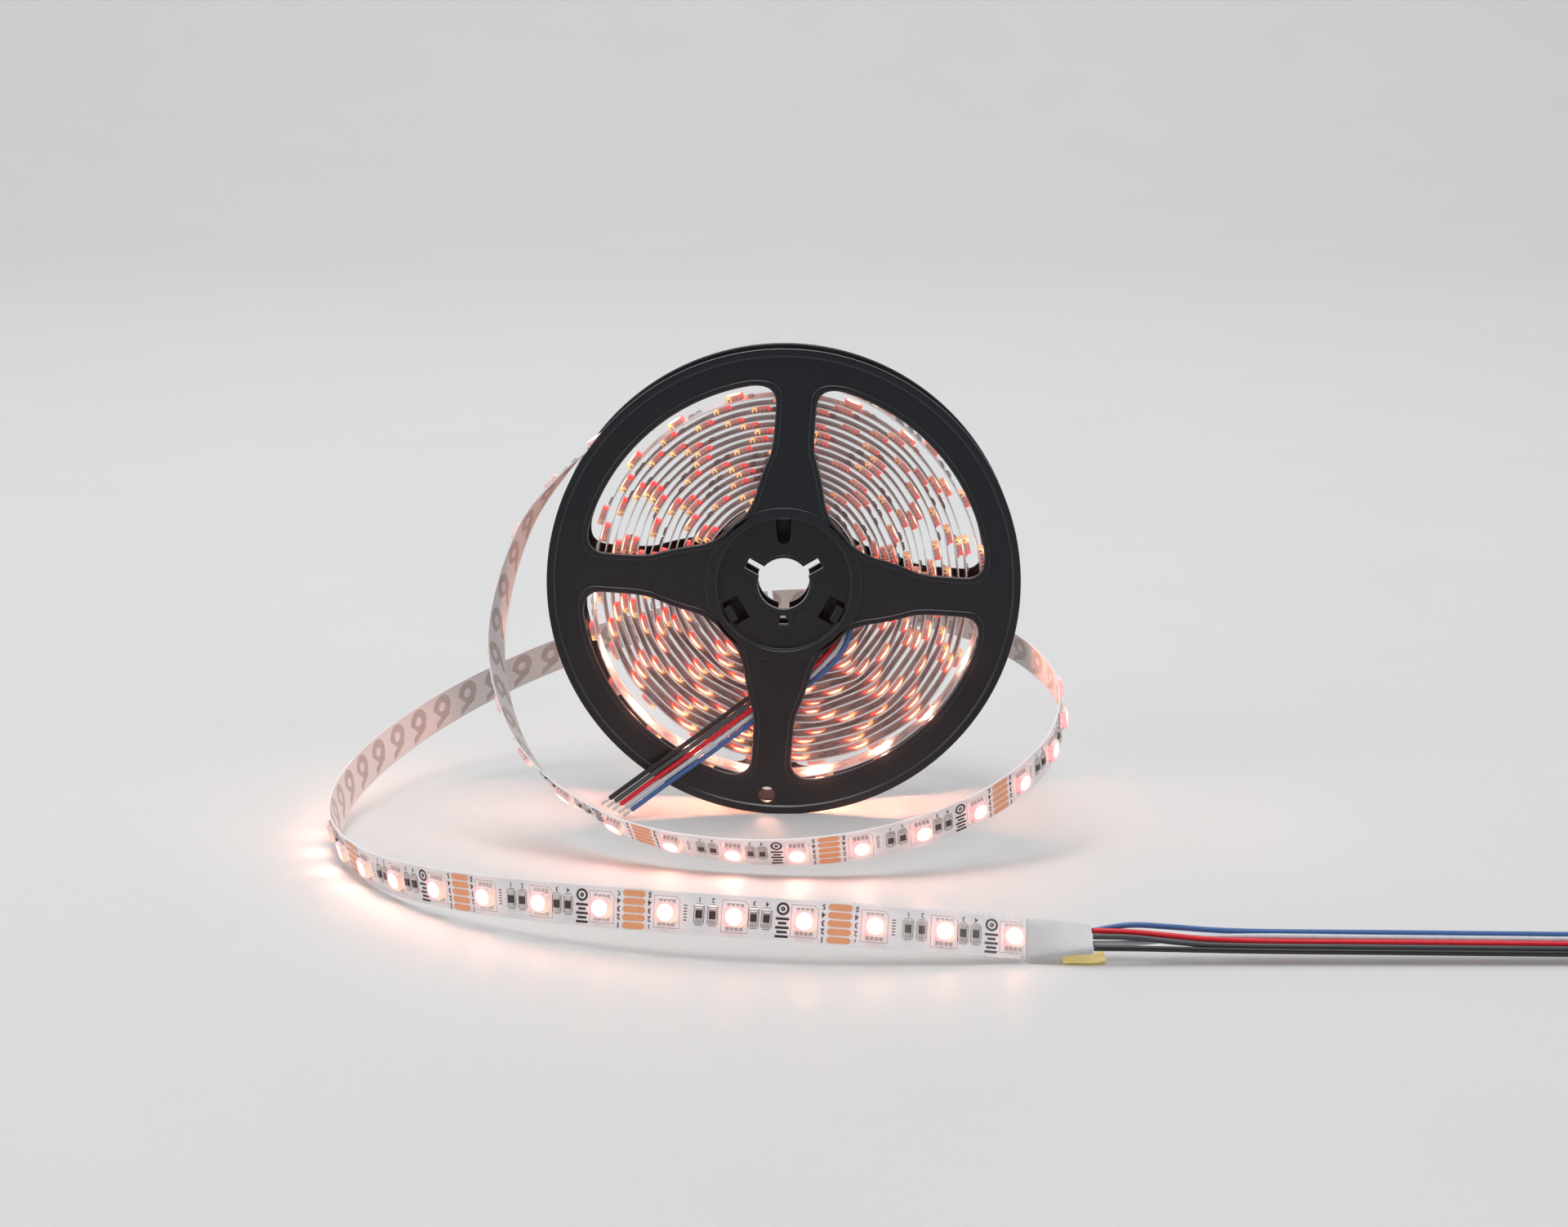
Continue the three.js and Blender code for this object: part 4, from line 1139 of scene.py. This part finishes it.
# The copper pads glow faintly through Emission: a painted glow of the lights' light on them.
METAL_AND_PAINTED_GLOW = {"Metallic": 0.12, "Emission_Strength": 1.0}
copper, speck = mottled("bare_copper", BROWN, ORANGE, 1.6, 0.35, **METAL_AND_PAINTED_GLOW)
copper.set(Emission_Color=copper.mix(speck, (0.10, 0.03, 0.012), (0.16, 0.055, 0.028)))
resin, _ = mottled("dark_resin", (0.035, 0.026, 0.026), (0.075, 0.058, 0.055), 0.9, 0.25)
print_ink, _ = mottled("dark_ink", (0.022, 0.016, 0.018), (0.06, 0.045, 0.05), 1.2, 0.4)
print("small finishes: lens, body, silver, copper, resin, ink")

# %% Place the lights
def picked(sections, index):
    return tuple(x[np.array(index)] for x in sections)


free_lights = free_sections(FREE_LIGHTS)
LOOSE_START = roll_run[len(wound_sections[0]) - 1]


def roll_places(stations):
    """Sections of the wound strip at the given distances, counted as on the free strip."""
    points, *axes = (read_at(stations, roll_run, part) for part in roll_sections)
    return (points, *(unit(axis) for axis in axes))


loose_at = np.arange(FREE_LIGHTS[0] - LED_PITCH, LOOSE_START + 6, -LED_PITCH)
loose_lights = roll_places(loose_at[loose_at < roll_run[-1] - 3])
last_turn = len(angle) - STEPS_A_TURN
inside = [i for i in lights if i < last_turn]
outside = [i for i in lights if i >= last_turn]
outer_lights = joined_sections(picked(wound_sections, outside), loose_lights)
facing_up = outer_lights[3][:, 2] > 0.05
seen_from_above = tuple(x[facing_up] for x in outer_lights)
wound_lights = joined_sections(picked(wound_sections, inside), seen_from_above)
outer_lights = tuple(x[~facing_up] for x in outer_lights)
for name, part, places, finish in (
    ("free_lenses", led_lens(), free_lights, lens),
    ("free_bodies", led_body(), free_lights, body),
    ("outer_lenses", led_lens(), outer_lights, loose_lens),
    ("outer_bodies", led_body(), outer_lights, wound_body),
    ("wound_lenses", led_lens(), wound_lights, wound_lens),
    ("wound_bodies", led_body(), wound_lights, wound_body),
    ("light_feet", led_pins(), joined_sections(free_lights, outer_lights, wound_lights), silver),
):
    repeated(name, part, places, finish)

# %% Place resistors and pads
PAD_PITCH = 1.95
RESISTORS = (16.3, 19.6, 29.5, 32.6)
CUTS_BACK = 25
CLEAR_OF_END = 2
CLEAR_OF_SPLICE = 3
CLEAR_ON_ROLL = 4


def on_strip(*offsets):
    """Places at these distances after each cut place, on both loops and the loose turn."""
    places = []
    for offset in offsets:
        first = offset - CUTS_BACK * SEGMENT
        outer = np.arange(PADS_AT + first, FREE_LENGTH - CLEAR_OF_END, SEGMENT)
        inner = np.arange(INNER_PADS_AT + first, SPLICE_AT[1] - CLEAR_OF_SPLICE, SEGMENT)
        loose = inner[(inner > LOOSE_START + CLEAR_ON_ROLL) & (inner < SPLICE_AT[0] - CLEAR_ON_ROLL)]
        inner = inner[inner > SPLICE_AT[0] + CLEAR_OF_SPLICE]
        free = np.concatenate([inner, outer[outer > SPLICE_AT[1] + CLEAR_OF_SPLICE]])
        places += [free_sections(free), roll_places(loose)]
    return joined_sections(*places)


wound_run = roll_run[: len(wound_sections[0])]
rows = [np.arange(wound_run[0] + 20 + d, wound_run[-1] - 3, SEGMENT) for d in RESISTORS]
nearest = [np.argmin(abs(wound_run - s)) for s in np.concatenate(rows)]
resistors = joined_sections(on_strip(*RESISTORS), picked(wound_sections, nearest))
resistor_body, resistor_ends = resistor_parts()
repeated("resistor_bodies", resistor_body, resistors, resin)
repeated("resistor_ends", resistor_ends, resistors, silver)
pad = pill(2.9, 0.78, BOARD_TOP, BOARD_TOP + 0.03)
pads = part_mesh("pads", *several([moved(pad, 0, k * PAD_PITCH) for k in range(-2, 3)]))
repeated("copper_pads", pads, on_strip(0.0), copper)

# %% Print small marks
INK_LOW, INK_HIGH = BOARD_TOP, BOARD_TOP + 0.02


def numeral(text, size, x, y):
    """A printed number as a thin solid, centred on x, y, that reads from the outer edge."""
    curve = bpy.data.curves.new("numeral", "FONT")
    curve.body, curve.size, curve.resolution_u = text, size, 1
    curve.align_x, curve.align_y = "CENTER", "CENTER"
    curve.extrude = (INK_HIGH - INK_LOW) / 2
    curve.offset = 0.02 * size
    mesh = mesh_of(curve)
    middle = Matrix.Translation((x, y, (INK_LOW + INK_HIGH) / 2))
    mesh.transform(middle @ Matrix.Rotation(math.radians(180), 4, "Z"))
    return [tuple(v.co) for v in mesh.vertices], [tuple(f.vertices) for f in mesh.polygons]


def stroke(x, y, half_x, half_y):
    return moved(block(half_x, half_y, INK_LOW, INK_HIGH), x, y)


def ring(x, y, outer, inner, sides=18):
    """A printed ring as a thin solid."""
    levels = ((outer, INK_LOW), (outer, INK_HIGH), (inner, INK_HIGH), (inner, INK_LOW))
    return skin([[(*point, z) for point in circle(r, sides, (x, y))] for r, z in levels], "loop")


rows = [(k, side) for k in range(-2, 3) for side in (-1, 1)]
pad_numbers = [numeral(str(k + 3), 1.9, side * 3.95, k * PAD_PITCH) for k, side in rows]
BARS = ((0.3, 1.6), (-0.75, 1.0), (-1.8, 1.6), (-2.85, 1.25), (-3.9, 1.6))
lines = [stroke(0, y, half, 0.3) for y, half in BARS]
mark = [ring(0, 2.65, 1.55, 1.0), ring(0, 2.65, 0.55, 0.15, 10), *lines]
dashes = [stroke(0, y, 0.42, 0.12) for y in (1.9, 1.2, 0.5, -0.2, -0.9, -1.6)]
prints = [("pad_numbers", pad_numbers, 0.0), ("row_marks", mark, 36.4), ("small_dashes", dashes, 12.9)]
frame_lines = [stroke(x, 0, 0.05, 2.1) for x in (-1.22, 1.22)]
frame_lines += [stroke(0, y, 0.9, 0.05) for y in (-2.5, 2.5)]
for number, offset in enumerate(RESISTORS, 1):
    prints.append((f"number_{number}", [numeral(str(number), 1.6, 0, 3.5), *frame_lines], offset))
for name, shapes, offset in prints:
    repeated(name, part_mesh(name, *several(shapes)), on_strip(offset), print_ink)

# %% [markdown]
# ## Sleeves and tab
#
# Two sleeves of heat-shrunk film close the strip's free end: a clear one over the last lights and
# a white one over the soldered joint with the lead. A third, hidden one lies on the hub. Each is a
# loft through rounded sections. The clear one is a real hollow, so that it shows the strip inside.

# %% Sections with rounded sides
OVAL_SIDES = 28


def oval(section, half, low, high, power):
    """A rounded section round the strip: half wide, from low to high along its outward way."""
    p, _, top, out = section
    middle, reach = (low + high) / 2, (high - low) / 2
    ring_points = []
    for c, s in circle(1, OVAL_SIDES):
        u, v = math.copysign(abs(c) ** power, c), math.copysign(abs(s) ** power, s)
        ring_points.append(p + top * half * u + out * (middle + reach * v))
    return ring_points


def section_at(sections, i):
    return tuple(x[i] for x in sections)


def sleeve(name, rings, stations, finish, node, close="caps"):
    """A skin through the rings that takes a node's place. Its UVs run 10 mm round each ring."""
    around = 10 * np.arange(len(rings[0])) / len(rings[0])
    thing = mesh_from_rings(name, rings, stations, around, finish, close)
    thing.data.set_sharp_from_angle(angle=math.radians(50))
    stand_for(thing, node)


print("sections have", OVAL_SIDES, "points")

# %% The clear sleeve
film = Finish("clear_film", Base_Color=(0.9, 0.93, 0.95), Specular_IOR_Level=0.6)
s_along, s_round, _ = film.split(film.uv())
stretched = film.add("ShaderNodeCombineXYZ", {}, {0: s_along * 0.9, 1: s_round * 0.25, 2: 0.0})
crease = film.noise(0.35, 2.0, stretched)
# Along thin lines in the creases the film is more opaque, so its pale colour shows there as painted
# highlights on the wrinkles. The bump and low roughness are real.
film.set(Alpha=(abs(crease - 0.5) < 0.006) * 0.16 + 0.05, Roughness=crease * 0.1 + 0.06)
film.bump(crease, 0.5, 0.4)
CLEAR_LEN = 42
clear_stations = np.linspace(FREE_LENGTH - CLEAR_LEN, FREE_LENGTH - 0.2, 60)
clear_sections = free_sections(clear_stations)
skins = []
for off in (0.1, 0.0):
    rings = []
    for i, station in enumerate(clear_stations):
        near = min(abs(FREE_LIGHTS - station))
        high = 1.5 + 0.75 * math.exp(-max(0, near - 2.6) ** 2 / 4)
        section = section_at(clear_sections, i)
        rings.append(oval(section, 5.25 + off, -0.45 - off, high + off, 0.55))
    skins.append(rings)
hollow = skins[0] + skins[1][::-1] + skins[0][:1]
hollow_at = np.concatenate([clear_stations, clear_stations[::-1], clear_stations[:1]])
sleeve("clear_film", hollow, hollow_at, film, "clear_sleeve", "open")

# %% The white sleeves
shrink, shade = mottled("white_shrink", (0.60, 0.61, 0.63), (0.66, 0.665, 0.68), 0.12, 0.32)
shrink.bump(shrink.noise(0.5, 3.0), 0.35, 0.25)
tip = section_at(free_sections(np.array([FREE_LENGTH])), 0)
start = tip[0] + tip[1] * 0.3
stop = LEAD_START - LEAD_ALONG * 0.3
rings = []
for u in np.linspace(0, 1, 24):
    along = unit(tip[1] + (LEAD_ALONG - tip[1]) * u)
    top = tip[2] + (LEAD_ACROSS - tip[2]) * u
    top = unit(top - along * np.dot(top, along))
    section = (start + (stop - start) * u, along, top, np.cross(along, top))
    lump = 0.35 * math.exp(-((u - 0.3) / 0.18) ** 2) + 0.2 * math.exp(-((u - 0.72) / 0.12) ** 2)
    rings.append(oval(section, 4.95 - 0.75 * u, -0.75 - 0.5 * u, 0.95 + lump + 0.4 * u, 0.5))
sleeve("white_end_sleeve", rings, np.linspace(0, 16, 24), shrink, "end_sleeve")
inner_bend = polar_sections(np.linspace(6.9, 39.1, 20), np.full(20, ROLL_R0 + 0.1))
rings = [oval(section_at(inner_bend, i), 4.95, -0.65, 0.65, 0.45) for i in range(20)]
sleeve("white_inner_sleeve", rings, np.linspace(0, 11, 20), shrink, "inner_sleeve")

# %% The yellow tab
# The tape glows a little through Emission: painted light that lifts it where the white sleeve shades it.
TAPE_PAINTED_LIGHT = {"Emission_Color": (0.13, 0.095, 0.012), "Emission_Strength": 1.0}
tape, _ = mottled("yellow_tape", (0.97, 0.80, 0.30), (1.0, 0.88, 0.42), 0.5, 0.35, **TAPE_PAINTED_LIGHT)
tape.bump(tape.noise(1.5, 2.0), 0.3, 0.05)
TAB_RING = ((-1, 0, 1), (0, 0.08, 0), (1, 0.25, -1), (1, 0.4, -1), (0, 0.23, 0), (-1, 0.15, 1))
rings = []
for u in np.linspace(0, 1, 16):
    curl = 0.5 * u ** 3 + 0.12 * math.sin(7 * u)
    x = 67.4 + 10.1 * u
    cut = 0.35 * math.sin(u * 19) if u > 0.9 else 0.0
    rings.append([(x + cut * k, -135.6 + 3.25 * side, 0.55 + curl + z) for side, z, k in TAB_RING])
sleeve("yellow_tab", rings, np.linspace(0, 10, 16), tape, "tape_tab")

# %% [markdown]
# ## The stage
#
# A pale sweep of paper: a floor that curves up behind the object, so that no horizon shows.

# %% Paper sweep
def sweep(width, front, back, height, radius):
    """A floor that curves up into a wall, as one strip of quads."""
    profile = [(front, 0.0), (back - radius, 0.0)]
    for k in range(1, 17):
        a = math.pi / 2 * k / 16
        profile.append((back - radius + radius * math.sin(a), radius - radius * math.cos(a)))
    profile.append((back, height))
    mesh = bpy.data.meshes.new("paper_sweep")
    points = [(side * width / 2, y, z) for y, z in profile for side in (-1, 1)]
    faces = [(2 * i, 2 * i + 1, 2 * i + 3, 2 * i + 2) for i in range(len(profile) - 1)]
    mesh.from_pydata(points, [], faces)
    mesh.polygons.foreach_set("use_smooth", [True] * len(faces))
    return add_object("paper_sweep", mesh)


DRY = {"Roughness": 0.5, "Specular_IOR_Level": 0.4}
paper, _ = mottled("pale_paper", (0.70, 0.705, 0.71), (0.73, 0.735, 0.735), 0.01, **DRY)
floor = sweep(8, -3, 3.2, 4, 1.5)
floor.data.materials.append(paper.material)
print("sweep has", len(floor.data.polygons), "faces")

# %% Studio light
def softbox(name, size, energy, at, towards):
    light = bpy.data.lights.new(name, "AREA")
    light.shape = "RECTANGLE"
    light.size, light.size_y = size
    light.energy = energy
    thing = add_object(name, light)
    thing.location = at
    thing.rotation_euler = (Vector(towards) - Vector(at)).to_track_quat("-Z", "Y").to_euler()


world = bpy.data.worlds.new("studio")
world.use_nodes = True
background = world.node_tree.nodes["Background"]
background.inputs["Color"].default_value = (0.97, 0.985, 1.0, 1)
background.inputs["Strength"].default_value = 0.23
bpy.context.scene.world = world
softbox("overhead", (1.5, 1.1), 18.5, (-0.1, -0.1, 1.7), (0, 0, 0))
softbox("back_light", (5, 2.6), 29, (0.0, 2.1, 2.2), (0.0, 2.1, 0))
softbox("left_fill", (0.8, 0.8), 4.2, (-1.5, -0.9, 0.8), (0, 0, 0.05))
softbox("right_fill", (0.8, 0.8), 2.6, (1.5, -0.9, 0.8), (0, 0, 0.05))
softbox("wall_wash", (4, 1.2), 15, (0.0, 0.8, 1.9), (0, 3.2, 0.6))
bpy.context.scene.view_settings.view_transform = "Standard"

# %% [markdown]
# ## Bloom of the lights
#
# A lens that looks straight at bright lights scatters a little of them over the picture. One Glare
# node on the finished picture adds that haze.

# %% Bloom
scene = bpy.context.scene
scene.use_nodes = True
picture = scene.node_tree
picture.nodes.clear()
layers = picture.nodes.new("CompositorNodeRLayers")
bloom = picture.nodes.new("CompositorNodeGlare")
bloom.glare_type = "BLOOM"
BLOOM = {"Threshold": 1.0, "Clamp": True, "Maximum": 6.0, "Strength": 0.26, "Size": 0.45}
for name, value in BLOOM.items():
    bloom.inputs[name].default_value = value
result = picture.nodes.new("CompositorNodeComposite")
picture.links.new(layers.outputs["Image"], bloom.inputs["Image"])
picture.links.new(bloom.outputs["Image"], result.inputs["Image"])
print("bloom strength", bloom.inputs["Strength"].default_value)
